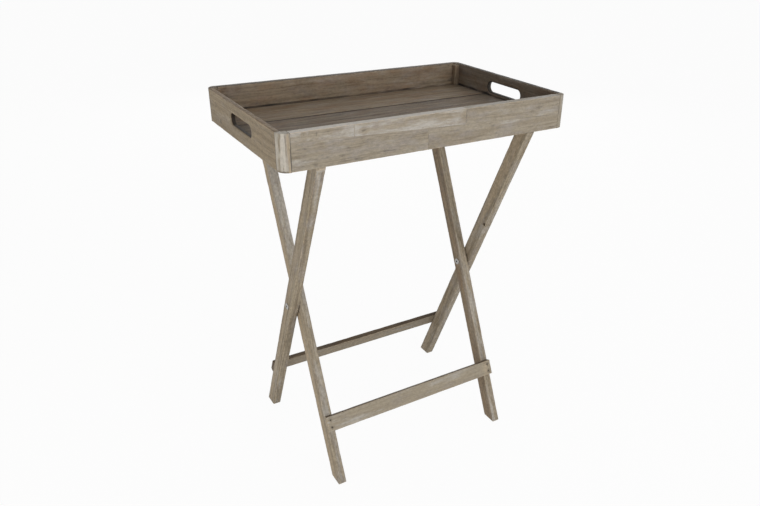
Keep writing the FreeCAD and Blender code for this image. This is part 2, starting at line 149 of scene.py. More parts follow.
class ShaderWeb:
    """Adds nodes to a shader tree and links them."""

    def __init__(self, tree: bpy.types.NodeTree) -> None:
        """Empties the tree and keeps it.

        Args:
            tree: Node tree of a material or a world.
        """
        self.tree = tree
        self.tree.nodes.clear()

    def node(self, kind: str, **settings: object) -> bpy.types.Node:
        """Makes a node.

        Args:
            kind: Blender's name of the node type.
            settings: Properties to set on the node.

        Returns:
            The new node.
        """
        made = self.tree.nodes.new(kind)
        for name, setting in settings.items():
            setattr(made, name, setting)
        return made

    def feed(self, target: Socket, source: Feed) -> None:
        """Links a socket to a source, or writes a plain value on it.

        Args:
            target: Input socket.
            source: Output socket, number or tuple of numbers.
        """
        if isinstance(source, bpy.types.NodeSocket):
            self.tree.links.new(source, target)
        else:
            target.default_value = source

    def blend(self, share: Socket, under: Socket, over: Socket) -> Socket:
        """Returns a share of one shader over another."""
        return self._result(self.node("ShaderNodeMixShader"), (share, under, over))

    def surface(self, shader: Socket, kind: str = "ShaderNodeOutputMaterial") -> None:
        """Ends the tree with a shader."""
        self.feed(self.node(kind).inputs["Surface"], shader)

    def layer(self, layer: Layer) -> tuple[Socket, Socket]:
        """Returns the first three numbers of one of the piece's attributes, and the fourth."""
        made = self.node("ShaderNodeAttribute", attribute_name=layer.value)
        return made.outputs["Vector"], made.outputs["Alpha"]

    def split(self, vector: Socket) -> tuple[Socket, Socket, Socket]:
        """Takes a vector apart.

        Args:
            vector: The vector.

        Returns:
            Its three numbers.
        """
        parts = self.node("ShaderNodeSeparateXYZ")
        self.feed(parts.inputs[0], vector)
        return parts.outputs[0], parts.outputs[1], parts.outputs[2]

    def join(self, x: Feed, y: Feed, z: Feed) -> Socket:
        """Returns a vector of three numbers."""
        return self._result(self.node("ShaderNodeCombineXYZ"), (x, y, z))

    def math(self, operation: str, *values: Feed) -> Socket:
        """Returns what Blender's named operation makes of some numbers."""
        return self._result(self.node("ShaderNodeMath", operation=operation), values)

    def vector(self, operation: str, *values: Feed) -> Socket:
        """Returns what Blender's named operation makes of some vectors."""
        return self._result(self.node("ShaderNodeVectorMath", operation=operation), values)

    def _result(self, made: bpy.types.Node, values: tuple[Feed, ...]) -> Socket:
        """Feeds a node's inputs in order.

        Args:
            made: The node.
            values: Its inputs.

        Returns:
            The socket of its result.
        """
        for target, source in zip(made.inputs, values):
            self.feed(target, source)
        return made.outputs[0]

    def length(self, first: Socket, second: Socket) -> Socket:
        """Returns the length of a vector of two numbers."""
        squares = [self.math("MULTIPLY", side, side) for side in (first, second)]
        return self.math("SQRT", self.math("ADD", *squares))

    def rest(self, share: Socket) -> Socket:
        """Returns what a share leaves of the whole."""
        return self.math("SUBTRACT", 1.0, share)

    def noise(self, vector: Socket, pattern: Pattern) -> bpy.types.Node:
        """Makes a noise with a frequency of its own along x.

        Args:
            vector: Coordinates in metres.
            pattern: Its waves, its octaves and the share of the finer ones.

        Returns:
            The noise node.
        """
        made = self.node("ShaderNodeTexNoise")
        waves = (pattern.along, pattern.across, pattern.across)
        self.feed(made.inputs["Vector"], self.vector("MULTIPLY", vector, waves))
        for name, setting in (("Scale", 1.0), ("Detail", pattern.detail), ("Roughness", pattern.roughness)):
            made.inputs[name].default_value = setting
        return made

    def level(self, vector: Socket, pattern: Pattern) -> Socket:
        """Returns the level of a noise."""
        return self.noise(vector, pattern).outputs["Fac"]

    def swing(self, level: Socket) -> Socket:
        """Returns how far the level of a noise lies over its middle."""
        return self.math("SUBTRACT", level, NOISE_MIDDLE)

    def cover(self, vector: Socket, pattern: Pattern) -> Socket:
        """Returns how far a noise covers a place, from 0 to 1."""
        return self.step(self.level(vector, pattern), pattern.low, pattern.high)

    def step(self, source: Feed, low: Feed, high: Feed) -> Socket:
        """Makes a smooth step.

        Args:
            source: Number to judge.
            low: Where the step is 0.
            high: Where the step is 1.

        Returns:
            The step.
        """
        made = self.node("ShaderNodeMapRange", interpolation_type="SMOOTHSTEP")
        for name, value in (("Value", source), ("From Min", low), ("From Max", high)):
            self.feed(made.inputs[name], value)
        return made.outputs["Result"]

    def mix(self, share: Feed, under: Feed, over: Feed, blend: str = "MIX") -> Socket:
        """Blends two colours.

        Args:
            share: How much of the upper colour shows.
            under: Lower colour.
            over: Upper colour.
            blend: Blender's name of the blend.

        Returns:
            The blended colour's socket.
        """
        made = self.node("ShaderNodeMix", data_type="RGBA", blend_type=blend)
        colour_inputs = [item for item in made.inputs if item.type == "RGBA"]
        self.feed(made.inputs[0], share)
        for target, source in zip(colour_inputs, (under, over)):
            self.feed(target, source if isinstance(source, bpy.types.NodeSocket) else (*source, 1.0))
        return next(item for item in made.outputs if item.type == "RGBA")


def new_material(name: str) -> tuple[bpy.types.Material, ShaderWeb]:
    """Starts a material.

    Args:
        name: Its name.

    Returns:
        The material, and its empty shader.
    """
    made = bpy.data.materials.new(name)
    made.use_nodes = True
    return made, ShaderWeb(made.node_tree)


# Finishes


DRIFT_NOISE = Pattern(2.4, 10.0, 2.0)
SWAY_NOISE = Pattern(9.0, 40.0, 2.0)
RING_NOISE = Pattern(1.3, 240.0, 2.0, 0.5, low=0.42, high=0.68)
FIBRE_NOISE = Pattern(22.0, 900.0, 4.0, 0.66)
STREAK_NOISE = Pattern(4.5, 210.0, 3.0, 0.6, low=0.50, high=0.72)
LINE_NOISE = Pattern(2.6, 120.0, 2.0, 0.5, low=0.004, high=0.022)
PIT_NOISE = Pattern(75.0, 1000.0, 2.0, low=0.62, high=0.72)
SCUFF_NOISE = Pattern(150.0, 230.0, 4.0, 0.7)
BLOOM_NOISE = Pattern(20.0, 52.0, 4.0, 0.68, low=0.46, high=0.66)
WASH_NOISE = Pattern(7.0, 34.0, 4.0, 0.68, low=0.12, high=0.36)
RUB_NOISE = Pattern(26.0, 150.0, 4.0, 0.7, low=0.80, high=1.20)
SOOT_NOISE = Pattern(38.0, 120.0, 3.0, 0.6, low=0.62, high=0.86)
STAIN_NOISE = Pattern(16.0, 42.0, 4.0, 0.7, low=0.42, high=0.66)
SMEAR_NOISE = Pattern(11.0, 95.0, 5.0, 0.72)
SEAM_NOISE = Pattern(110.0, 260.0, 3.0, 0.65, low=-0.1, high=0.5)
WEAR_NOISE = Pattern(85.0, 190.0, 3.0, 0.7, low=0.34, high=0.70)
TURNING_NOISE = Pattern(2600.0, 300.0, 2.0)
DULL_NOISE = Pattern(420.0, 420.0, low=0.45, high=0.8)
RUST_NOISE = Pattern(900.0, 900.0, low=0.45, high=0.7)
NO_SEAM = 0.001 * MM


@dataclass(frozen=True)
class WeatheredWood:
    """Grey-washed wood with lengthwise grain, pale wash, bare arrises, sheltered brown faces and painted
    shade.
    """

    name: str
    slot: str
    sap: Rgb = (0.325, 0.280, 0.213)
    heart: Rgb = (0.190, 0.148, 0.098)
    wash: Rgb = (0.452, 0.424, 0.380)
    bare: Rgb = (0.455, 0.360, 0.245)
    soot: Rgb = (0.045, 0.036, 0.027)
    stain: Rgb = (0.235, 0.150, 0.085)
    bloom: Rgb = (0.290, 0.262, 0.248)
    shade: Rgb = (0.22, 0.30, 0.37)
    wash_level: float = 0.56
    wash_share: float = 0.72
    streak_wash: float = 0.35
    mark_wash: float = 0.22
    mark_soot: float = 0.30
    band_share: float = 0.4
    streak_share: float = 0.5
    line_share: float = 0.5
    bloom_share: float = 0.4
    bare_share: float = 0.6
    soot_share: float = 0.5
    pit_share: float = 0.38
    stain_share: float = 0.5
    seam_share: float = 0.95
    scuff_share: float = 0.75
    smear_share: float = 1.3
    gloom: float = 0.62
    least_light: float = 0.08
    fibre_light: float = 0.5
    base_light: float = 0.77
    wide_bend: float = 18.0 * MM
    fine_bend: float = 4.0 * MM
    wear: Wear = Wear.LONG
    wear_share: float = 0.6
    wear_fade: float = 0.5
    wear_reach: float = 2.4 * MM
    wear_least: float = 0.12
    wear_core: float = 0.35
    seam_along: float = 0.7 * MM
    seam_across: float = NO_SEAM
    ring_dip: float = 0.45
    bump_strength: float = 0.32
    bump_depth: float = 0.35 * MM
    gloss: float = 0.32
    fibre_rough: float = 0.22
    base_rough: float = 0.58

    def material(self) -> bpy.types.Material:
        """Makes the finish.

        Returns:
            Its material.
        """
        made, web = new_material(self.name)
        grain = web.layer(Layer.GRAIN)[0]
        warped = self._warped(web, grain)
        bands = self._bands(web, warped)
        fibre = web.level(warped, FIBRE_NOISE)
        pits = web.cover(warped, PIT_NOISE)
        bump = web.node("ShaderNodeBump")
        bump.inputs["Strength"].default_value = self.bump_strength
        bump.inputs["Distance"].default_value = self.bump_depth
        height = web.math("MULTIPLY_ADD", bands, -self.ring_dip, web.math("SUBTRACT", fibre, pits))
        web.feed(bump.inputs["Height"], height)
        shader = web.node("ShaderNodeBsdfPrincipled")
        shader.inputs["Specular IOR Level"].default_value = self.gloss
        web.feed(shader.inputs["Base Color"], self._colour(web, grain, warped, bands, fibre, pits))
        web.feed(shader.inputs["Roughness"],
                 web.math("MULTIPLY_ADD", fibre, self.fibre_rough, self.base_rough))
        web.feed(shader.inputs["Normal"], bump.outputs["Normal"])
        web.surface(shader.outputs["BSDF"])
        return made

    def _colour(self, web: ShaderWeb, grain: Socket, warped: Socket, bands: Socket, fibre: Socket,
                pits: Socket) -> Socket:
        """Lays the colours of the finish over each other.

        Args:
            web: Shader that is being built.
            grain: Coordinates along the grain.
            warped: The same, gently bent.
            bands: Growth rings.
            fibre: Fine fibres.
            pits: Open pores.

        Returns:
            The colour.
        """
        margin = web.layer(Layer.MARGIN)[0]
        board, rubbed = web.layer(Layer.BOARD)
        tone, shelter_and_shade, pale = web.split(board)
        streak = web.level(warped, STREAK_NOISE)
        coats = (
            (bands, self.band_share, self.heart),
            (web.step(streak, STREAK_NOISE.low, STREAK_NOISE.high), self.streak_share, self.heart),
            (self._lines(web, warped), self.line_share, self.heart),
            (web.cover(grain, BLOOM_NOISE), self.bloom_share, self.bloom),
            (self._washed(web, grain, streak, pale), self.wash_share, self.wash),
            (self._rubbed(web, grain, rubbed), self.bare_share, self.bare),
            (self._sooted(web, grain, pale), self.soot_share, self.soot),
            (pits, self.pit_share, self.soot),
            (self._stained(web, grain, shelter_and_shade), self.stain_share, self.stain),
        )
        colour: Feed = self.sap
        for cover, share, paint in coats:
            colour = web.mix(web.math("MULTIPLY", cover, share), colour, paint)
        colour = self._shaded(web, colour, shelter_and_shade)
        if self.wear is not Wear.NONE:
            in_open = web.math("MAXIMUM", 0.0, web.math("MULTIPLY_ADD", shelter_and_shade, -self.wear_fade, 1.0))
            shown = web.math("MULTIPLY", in_open, self.wear_share)
            colour = web.mix(web.math("MULTIPLY", self._worn(web, grain, margin), shown), colour, self.bare)
        seam = web.math("MULTIPLY", self._seamed(web, grain, margin), self.seam_share)
        colour = web.mix(seam, colour, self.soot)
        scuff = web.swing(web.level(grain, SCUFF_NOISE))
        rough = web.math("MULTIPLY_ADD", scuff, self.scuff_share, self._smeared(web, warped, shelter_and_shade))
        light = web.math("ADD", web.math("MULTIPLY_ADD", fibre, self.fibre_light, self.base_light),
                         web.math("ADD", rough, tone))
        return web.mix(1.0, colour, web.join(light, light, light), "MULTIPLY")

    def _warped(self, web: ShaderWeb, grain: Socket) -> Socket:
        """Bends straight grain gently.

        Args:
            web: Shader that is being built.
            grain: Coordinates along the grain.

        Returns:
            Bent coordinates.
        """
        bends = []
        for pattern, bend in ((DRIFT_NOISE, self.wide_bend), (SWAY_NOISE, self.fine_bend)):
            level = web.noise(grain, pattern).outputs["Color"]
            swing = web.vector("SUBTRACT", level, (NOISE_MIDDLE, NOISE_MIDDLE, NOISE_MIDDLE))
            bends.append(web.vector("MULTIPLY", swing, (0.0, bend, bend)))
        return web.vector("ADD", grain, web.vector("ADD", *bends))

    def _bands(self, web: ShaderWeb, warped: Socket) -> Socket:
        """Returns growth rings, as 0 in early wood and 1 in late wood."""
        along, across, through = web.split(warped)
        return web.cover(web.join(along, web.length(across, through), 0.0), RING_NOISE)

    def _washed(self, web: ShaderWeb, grain: Socket, streak: Socket, pale: Socket) -> Socket:
        """Returns where the pale wash still lies, and where a highlight is painted.

        Args:
            web: Shader that is being built.
            grain: Coordinates along the grain.
            streak: Lengthwise streaks.
            pale: Extra wash of the piece itself, with its painted highlights.

        Returns:
            Share of wash, from 0 to 1.
        """
        patch = web.math("MULTIPLY_ADD", pale, self.mark_wash, web.level(grain, WASH_NOISE))
        level = web.math("MULTIPLY_ADD", streak, self.streak_wash, patch)
        return web.step(level, self.wash_level + WASH_NOISE.low, self.wash_level + WASH_NOISE.high)

    def _rubbed(self, web: ShaderWeb, grain: Socket, rubbed: Socket) -> Socket:
        """Returns where a face is rubbed to bare wood in places of its own; one such place is a painted
        highlight.
        """
        level = web.math("ADD", rubbed, web.level(grain, RUB_NOISE))
        return web.step(level, RUB_NOISE.low, RUB_NOISE.high)

    def _sooted(self, web: ShaderWeb, grain: Socket, pale: Socket) -> Socket:
        """Returns dark smudges and painted shade, where the piece's own wash is taken away."""
        level = web.math("MULTIPLY_ADD", pale, -self.mark_soot, web.level(grain, SOOT_NOISE))
        return web.step(level, SOOT_NOISE.low, SOOT_NOISE.high)

    def _stained(self, web: ShaderWeb, grain: Socket, shelter_and_shade: Socket) -> Socket:
        """Returns the brown blotches of sheltered faces."""
        return web.math("MULTIPLY", web.cover(grain, STAIN_NOISE), web.math("MINIMUM", shelter_and_shade, INDOORS))

    def _smeared(self, web: ShaderWeb, warped: Socket, shelter_and_shade: Socket) -> Socket:
        """Returns the long lighter and darker smears of sheltered faces."""
        share = web.math("MULTIPLY", web.math("MINIMUM", shelter_and_shade, INDOORS), self.smear_share)
        return web.math("MULTIPLY", web.swing(web.level(warped, SMEAR_NOISE)), share)

    def _shaded(self, web: ShaderWeb, colour: Socket, shelter_and_shade: Socket) -> Socket:
        """Darkens a colour where a face is sheltered, and further as painted shade where the shelter passes
        1.

        Args:
            web: Shader that is being built.
            colour: Colour in the open.
            shelter_and_shade: 0 in the open, 1 inside the tray, and more where shade is painted in corners,
                recesses and on tops.

        Returns:
            The darkened colour.
        """
        indoors = web.math("MINIMUM", shelter_and_shade, INDOORS)
        deeper = web.math("SUBTRACT", shelter_and_shade, indoors)
        loss = web.vector("MULTIPLY", web.join(indoors, indoors, indoors), self.shade)
        left = web.math("MAXIMUM", web.math("MULTIPLY_ADD", deeper, -self.gloom, 1.0), self.least_light)
        tint = web.vector("SUBTRACT", (1.0, 1.0, 1.0), loss)
        return web.mix(1.0, colour, web.vector("MULTIPLY", tint, web.join(left, left, left)), "MULTIPLY")

    def _lines(self, web: ShaderWeb, warped: Socket) -> Socket:
        """Returns thin dark lines along the grain."""
        ridge = web.math("ABSOLUTE", web.swing(web.level(warped, LINE_NOISE)))
        return web.rest(web.step(ridge, LINE_NOISE.low, LINE_NOISE.high))

    def _seamed(self, web: ShaderWeb, grain: Socket, margin: Socket) -> Socket:
        """Returns the dirt and painted shade where a board meets its neighbours.

        Args:
            web: Shader that is being built.
            grain: Coordinates along the grain.
            margin: Distances to the faces of the board's box.

        Returns:
            Share of dirt and painted shade, from 0 to 1.
        """
        from_end, from_side, _ = web.split(margin)
        near = web.math("MINIMUM", web.math("DIVIDE", from_end, self.seam_along),
                        web.math("DIVIDE", from_side, self.seam_across))
        ragged = web.math("SUBTRACT", near, web.level(grain, SEAM_NOISE))
        return web.rest(web.step(ragged, SEAM_NOISE.low, SEAM_NOISE.high))

    def _worn(self, web: ShaderWeb, grain: Socket, margin: Socket) -> Socket:
        """Returns where an arris is rubbed down to bare wood.

        Args:
            web: Shader that is being built.
            grain: Coordinates along the grain.
            margin: Distances to the faces of the board's box.

        Returns:
            Share of bare wood, from 0 to 1.
        """
        first, second, third = web.split(margin)
        middle = web.math("MAXIMUM", second, third)
        if self.wear is Wear.EVERY:
            smaller = web.math("MINIMUM", second, third)
            middle = web.math("MAXIMUM", smaller, web.math("MINIMUM", first, middle))
        rub = web.cover(grain, WEAR_NOISE)
        share = web.math("MULTIPLY_ADD", rub, 1.0 - self.wear_least, self.wear_least)
        reach = web.math("MULTIPLY", share, self.wear_reach)
        return web.rest(web.step(middle, web.math("MULTIPLY", reach, self.wear_core), reach))


@dataclass(frozen=True)
class BrightSteel:
    """Zinc-bright steel with fine turning marks about an axis along X, and painted shade in its socket."""

    name: str
    slot: str
    colour: Rgb = (0.40, 0.39, 0.37)
    dull: Rgb = (0.36, 0.34, 0.31)
    dull_share: float = 0.35
    socket: Rgb = (0.030, 0.028, 0.026)
    socket_radius: float = 0.0
    turned_rough: float = 0.2
    base_rough: float = 0.32

    def material(self, axis: Vector) -> bpy.types.Material:
        """Makes the finish.

        Args:
            axis: Any point on the fastener's axis.

        Returns:
            Its material.
        """
        made, web = new_material(self.name)
        place = web.node("ShaderNodeTexCoord").outputs["Object"]
        centred = web.vector("SUBTRACT", place, tuple(axis))
        along, across, up = web.split(centred)
        radius = web.length(across, up)
        turned = web.level(web.join(radius, along, 0.0), TURNING_NOISE)
        dulled = web.math("MULTIPLY", web.cover(centred, DULL_NOISE), self.dull_share)
        # The dark disc in the middle of the bolt head is painted shade in its socket.
        inside = web.math("LESS_THAN", radius, self.socket_radius)
        shader = web.node("ShaderNodeBsdfPrincipled")
        web.feed(shader.inputs["Base Color"],
                 web.mix(inside, web.mix(dulled, self.colour, self.dull), self.socket))
        shader.inputs["Metallic"].default_value = 1.0
        web.feed(shader.inputs["Roughness"],
                 web.math("MULTIPLY_ADD", turned, self.turned_rough, self.base_rough))
        web.surface(shader.outputs["BSDF"])
        return made


@dataclass(frozen=True)
class DarkIron:
    """Dull iron of old nails, with a little rust."""

    name: str
    slot: str
    iron: Rgb = (0.018, 0.016, 0.014)
    rust: Rgb = (0.050, 0.030, 0.018)
    metal: float = 0.15
    gloss: float = 0.15
    rust_rough: float = 0.3
    base_rough: float = 0.6

    def material(self) -> bpy.types.Material:
        """Makes the finish.

        Returns:
            Its material.
        """
        made, web = new_material(self.name)
        spots = web.level(web.node("ShaderNodeTexCoord").outputs["Object"], RUST_NOISE)
        rusted = web.step(spots, RUST_NOISE.low, RUST_NOISE.high)
        shader = web.node("ShaderNodeBsdfPrincipled")
        web.feed(shader.inputs["Base Color"], web.mix(rusted, self.iron, self.rust))
        shader.inputs["Metallic"].default_value = self.metal
        shader.inputs["Specular IOR Level"].default_value = self.gloss
        web.feed(shader.inputs["Roughness"],
                 web.math("MULTIPLY_ADD", spots, self.rust_rough, self.base_rough))
        web.surface(shader.outputs["BSDF"])
        return made


WALL_WOOD = WeatheredWood("wall_wood", "wall_wood", wash=(0.455, 0.430, 0.398))
END_WOOD = WeatheredWood("end_wood", "wall_wood", sap=(0.335, 0.268, 0.180), wash=(0.420, 0.365, 0.285),
                         band_share=0.55, bloom_share=0.25, scuff_share=1.1, wear_share=0.8,
                         wear_reach=3.4 * MM)
FAR_END_WOOD = WeatheredWood("far_end_wood", "wall_wood", shade=(0.22, 0.27, 0.28), wear_share=0.8)
POST_WOOD = WeatheredWood("post_wood", "wall_wood", wash_level=0.48, wash=(0.560, 0.525, 0.465),
                          band_share=0.6, streak_share=0.8, line_share=0.8, wear=Wear.NONE,
                          seam_along=NO_SEAM)
WALL_POST_WOOD = WeatheredWood("wall_post_wood", "wall_wood", wear=Wear.NONE, seam_along=NO_SEAM)
FLOOR_WOOD = WeatheredWood("floor_wood", "floor_wood", wash_level=0.60, band_share=0.6, streak_share=0.75,
                           shade=(0.22, 0.28, 0.33), smear_share=1.9, seam_along=3.0 * MM,
                           seam_across=3.2 * MM)
BLOCK_WOOD = WeatheredWood("block_wood", "floor_wood", wash_level=0.60, seam_along=NO_SEAM)
LEG_WOOD = WeatheredWood("leg_wood", "stand_wood", sap=(0.340, 0.285, 0.205), wash_level=0.55,
                         band_share=0.65, streak_share=0.95, line_share=0.9, scuff_share=1.5,
                         wear=Wear.EVERY, wear_share=0.45, seam_along=NO_SEAM)
STRETCHER_WOOD = WeatheredWood("stretcher_wood", "stand_wood", sap=(0.340, 0.290, 0.215), band_share=0.25,
                               streak_share=0.3, line_share=0.2, bloom_share=0.25, wear_share=0.4,
                               seam_along=NO_SEAM)
BOLT_STEEL = BrightSteel("bolt_steel", "bolt_steel", socket_radius=2.4 * MM)
SCREW_STEEL = BrightSteel("screw_steel", "bolt_steel")
NAIL_IRON = DarkIron("nail_iron", "nail_iron")


# Woodworking


@dataclass(frozen=True)
class Mark:
    """Place on a board's face with more wash or less, or with bare wood; some marks paint light and shade.

    Its place and its reach are lengths along and across the grain.
    """

    along: float
    across: float
    reach_along: float
    reach_across: float
    wash: float
    bare: float = 0.0

    def at(self, point: Vector) -> float:
        """Works out the mark's strength at a point of the board.

        Args:
            point: The point in the board's own axes.

        Returns:
            The strength, which is 1 in the middle of the mark.
        """
        along = (point.x - self.along) / self.reach_along
        across = (point.y - self.across) / self.reach_across
        return math.exp(-(along ** 2 + across ** 2))


@dataclass(frozen=True)
class Strip:
    """One of the strips that a board is glued up from."""

    tone: float = 0.0
    wash: float = 0.0


@dataclass(frozen=True)
class Hole:
    """Round hole in a piece, in the frame's axes."""

    mouth: Vector
    inward: Vector
    diameter: float
    depth: float


@dataclass
class Billet:
    """Sawn piece of wood in its own axes: x along the grain, y across the face, z out of it."""

    node: str
    body: str
    size: Vector
    place: Matrix
    arris: float = 1.2 * MM
    end_arris: float = 0.4 * MM
    cell: float = 8.0 * MM
    rub: float = 0.55 * MM
    rub_reach: float = 2.2
    rub_waves: float = 48.0
    chip_waves: float = 140.0
    chip_share: float = 0.6
    ripple: float = 0.12 * MM
    ripple_waves: float = 14.0
    tone: float = 0.0
    shelter_and_shade: Callable[[Vector], float] = field(default=lambda point: OPEN)
    marks: tuple[Mark, ...] = ()
    holes: tuple[Hole, ...] = ()
    end_margin: Callable[[Vector], float] | None = None
    strips: tuple[Strip, ...] = (Strip(),)
    strip_at: Callable[[Vector], int] = field(default=lambda middle: 0)

    @classmethod
    def of_node(cls, node: str, body: str, along: Vector, across: Vector, **rest: object) -> "Billet":
        """Takes a billet's size and place from a node that lies square to the frame.

        Args:
            node: Node that the billet replaces.
            body: Body that it rides on.
            along: Frame axis of the grain.
            across: Frame axis across the face.
            rest: Other fields.

        Returns:
            The billet.
        """
        low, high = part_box(node)
        turn = axes(along, across)
        extent = high - low
        size = Vector(tuple(abs(extent.dot(turn.col[index].to_3d())) for index in range(3)))
        return cls(node, body, size, Matrix.Translation((low + high) / 2) @ turn, **rest)

    def box(self) -> bmesh.types.BMesh:
        """Saws the billet square, and eases its arrises.

        Returns:
            Its mesh in its own axes.
        """
        made = bmesh.new()
        bmesh.ops.create_cube(made, size=1.0)
        bmesh.ops.scale(made, vec=self.size, verts=made.verts)
        for axis, length in zip((AXIS_X, AXIS_Y, AXIS_Z), self.size):
            cuts = max(1, round(length / self.cell) - 1)
            bmesh.ops.subdivide_edges(made, edges=edges_along(made, axis), cuts=cuts, use_grid_fill=True)
        long_edges = [edge for edge in sharp_edges(made) if runs_along(edge, AXIS_X)]
        round_edges(made, long_edges, self.arris, ARRIS_FACETS)
        end_edges = [edge for edge in sharp_edges(made) if self.at_end(edge)]
        round_edges(made, end_edges, self.end_arris, SMALL_FACETS)
        return made

    def at_end(self, edge: bmesh.types.BMEdge) -> bool:
        """Tells whether an edge lies in one of the sawn ends."""
        limit = self.size.x / 2 - HAIR
        return all(abs(vert.co.x) > limit for vert in edge.verts)

    def weather(self, made: bmesh.types.BMesh) -> None:
        """Rubs the arrises unevenly and ripples the faces.

        Args:
            made: The billet's mesh in its own axes.
        """
        made.normal_update()
        start = noise_start()
        reach = self.rub_reach * self.arris
        for vert in made.verts:
            margin = sorted(half - abs(place) for half, place in zip(self.size / 2, vert.co))[1]
            wave = noise.noise(vert.co * self.ripple_waves + start)
            away = self.ripple * (0.5 + 0.5 * wave)
            if margin < reach:
                rough = noise.noise(vert.co * self.rub_waves + start)
                rough += self.chip_share * noise.noise(vert.co * self.chip_waves + start)
                away += self.rub * max(0.0, rough) * (1.0 - margin / reach)
            vert.co -= vert.normal * away

    def make(self, finish: WeatheredWood) -> None:
        """Makes a plain board, with nothing but its eased arrises.

        Args:
            finish: Finish of the wood.
        """
        made = self.box()
        self.weather(made)
        self.finish(made, finish)

    def finish(self, made: bmesh.types.BMesh, finish: WeatheredWood) -> None:
        """Puts the piece in its place, drills it and dresses it.

        Args:
            made: The billet's mesh in its own axes.
            finish: Finish of the wood.
        """
        bmesh.ops.transform(made, matrix=self.place, verts=made.verts)
        bmesh.ops.recalc_face_normals(made, faces=made.faces)
        piece = as_object(made, f"{self.node}_wood")
        for hole in self.holes:
            drill(piece, hole)
        self._write_layers(piece.data)
        piece.data.shade_smooth()
        piece.data.set_sharp_from_angle(angle=SMOOTH_ANGLE)
        piece.data.materials.append(shared_material(finish))
        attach(piece, self.body)
        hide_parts(self.node)
        log.info("%s: %d faces on %s", piece.name, len(piece.data.polygons), self.body)

    def _margin(self, point: Vector) -> Vector:
        """Works out how far a point lies inside the billet along each of its axes.

        Args:
            point: The point in the billet's own axes.

        Returns:
            The three distances.
        """
        room = [max(0.0, half - abs(place)) for half, place in zip(self.size / 2, point)]
        if self.end_margin:
            room[0] = max(0.0, self.end_margin(point))
        return Vector(room)

    def _write_layers(self, mesh: bpy.types.Mesh) -> None:
        """Writes the attributes that the finish reads.

        Args:
            mesh: The piece's mesh in the frame's axes.
        """
        starts = [Vector([draw.uniform(*span) for span in GRAIN_STARTS]) for _ in self.strips]
        slope = draw.uniform(-GRAIN_SLOPE, GRAIN_SLOPE)
        tone = self.tone + draw.uniform(-TONE_SPREAD, TONE_SPREAD)
        back = self.place.inverted()
        points = [back @ vert.co for vert in mesh.vertices]
        margins = [self._margin(point) for point in points]
        # Shelter browns the inner faces; beyond 1 it is painted shade.
        shelters_and_shades = [self.shelter_and_shade(point) for point in points]
        strengths = [[mark.at(point) for mark in self.marks] for point in points]
        washes = [sum(mark.wash * share for mark, share in zip(self.marks, shares)) for shares in strengths]
        bares = [sum(mark.bare * share for mark, share in zip(self.marks, shares)) for shares in strengths]
        rows: dict[Layer, list[float]] = {layer: [] for layer in Layer}
        for polygon in mesh.polygons:
            index = self.strip_at(back @ polygon.center)
            strip = self.strips[index]
            for vertex in polygon.vertices:
                point = points[vertex]
                grain = starts[index] + point + Vector((0.0, slope * point.x, 0.0))
                rows[Layer.GRAIN].extend((*grain, 1.0))
                rows[Layer.MARGIN].extend((*margins[vertex], 1.0))
                rows[Layer.BOARD].extend((tone + strip.tone, shelters_and_shades[vertex], washes[vertex] + strip.wash,
                                          bares[vertex]))
        for layer, numbers in rows.items():
            mesh.attributes.new(layer.value, "FLOAT_COLOR", "CORNER").data.foreach_set("color", numbers)


def noise_start() -> Vector:
    """Draws a place of its own in the noise for a piece."""
    return Vector([draw.uniform(0.0, NOISE_SPREAD) for _ in range(3)])


def within(number: float, low: float, high: float) -> float:
    """Returns a number held between two others."""
    return min(high, max(low, number))


def axes(along: Vector, across: Vector) -> Matrix:
    """Turn that puts a piece's own axes into the frame.

    Args:
        along: Where its x axis points.
        across: Where its y axis points.

    Returns:
        The turn as a 4 by 4 matrix.
    """
    return Matrix((along, across, along.cross(across))).transposed().to_4x4()


def runs_along(edge: bmesh.types.BMEdge, axis: Vector) -> bool:
    """Tells whether an edge runs along an axis."""
    run = edge.verts[1].co - edge.verts[0].co
    return abs(run.dot(axis)) > SAME_WAY * run.length


def edges_along(made: bmesh.types.BMesh, axis: Vector) -> list[bmesh.types.BMEdge]:
    """Returns the edges of a mesh that run along an axis."""
    return [edge for edge in made.edges if runs_along(edge, axis)]


def sharp_edges(made: bmesh.types.BMesh) -> list[bmesh.types.BMEdge]:
    """Returns the edges of a mesh whose faces meet at a corner."""
    made.normal_update()
    return [edge for edge in made.edges if edge.is_manifold and edge.calc_face_angle() > CORNER_ANGLE]


def round_edges(made: bmesh.types.BMesh, edges: list[bmesh.types.BMEdge], radius: float,
                segments: int) -> None:
    """Rounds edges of a mesh.

    Args:
        made: The mesh.
        edges: Edges to round.
        radius: Size of the round.
        segments: Facets across it.
    """
    bmesh.ops.bevel(made, geom=edges, offset=radius, offset_type="OFFSET", segments=segments,
                    profile=0.5, affect="EDGES", clamp_overlap=True, material=-1)


def saw(made: bmesh.types.BMesh, point: Vector, outward: Vector) -> None:
    """Cuts off what lies beyond a plane, and closes the cut.

    Args:
        made: The mesh.
        point: A point on the plane.
        outward: The plane's normal, towards the waste.
    """
    everything = list(made.verts) + list(made.edges) + list(made.faces)
    cut = bmesh.ops.bisect_plane(made, geom=everything, plane_co=point, plane_no=outward, clear_outer=True)
    rim = [item for item in cut["geom_cut"] if isinstance(item, bmesh.types.BMEdge)]
    bmesh.ops.contextual_create(made, geom=rim)


def score(made: bmesh.types.BMesh, faces: Iterable[bmesh.types.BMFace], point: Vector,
          across: Vector) -> None:
    """Draws a line of edges where a plane meets some faces.

    Args:
        made: The mesh.
        faces: Faces to score.
        point: A point on the plane.
        across: The plane's normal.
    """
    chosen = list(faces)
    edges = list({edge for face in chosen for edge in face.edges})
    verts = list({vert for face in chosen for vert in face.verts})
    bmesh.ops.bisect_plane(made, geom=verts + edges + chosen, plane_co=point, plane_no=across)


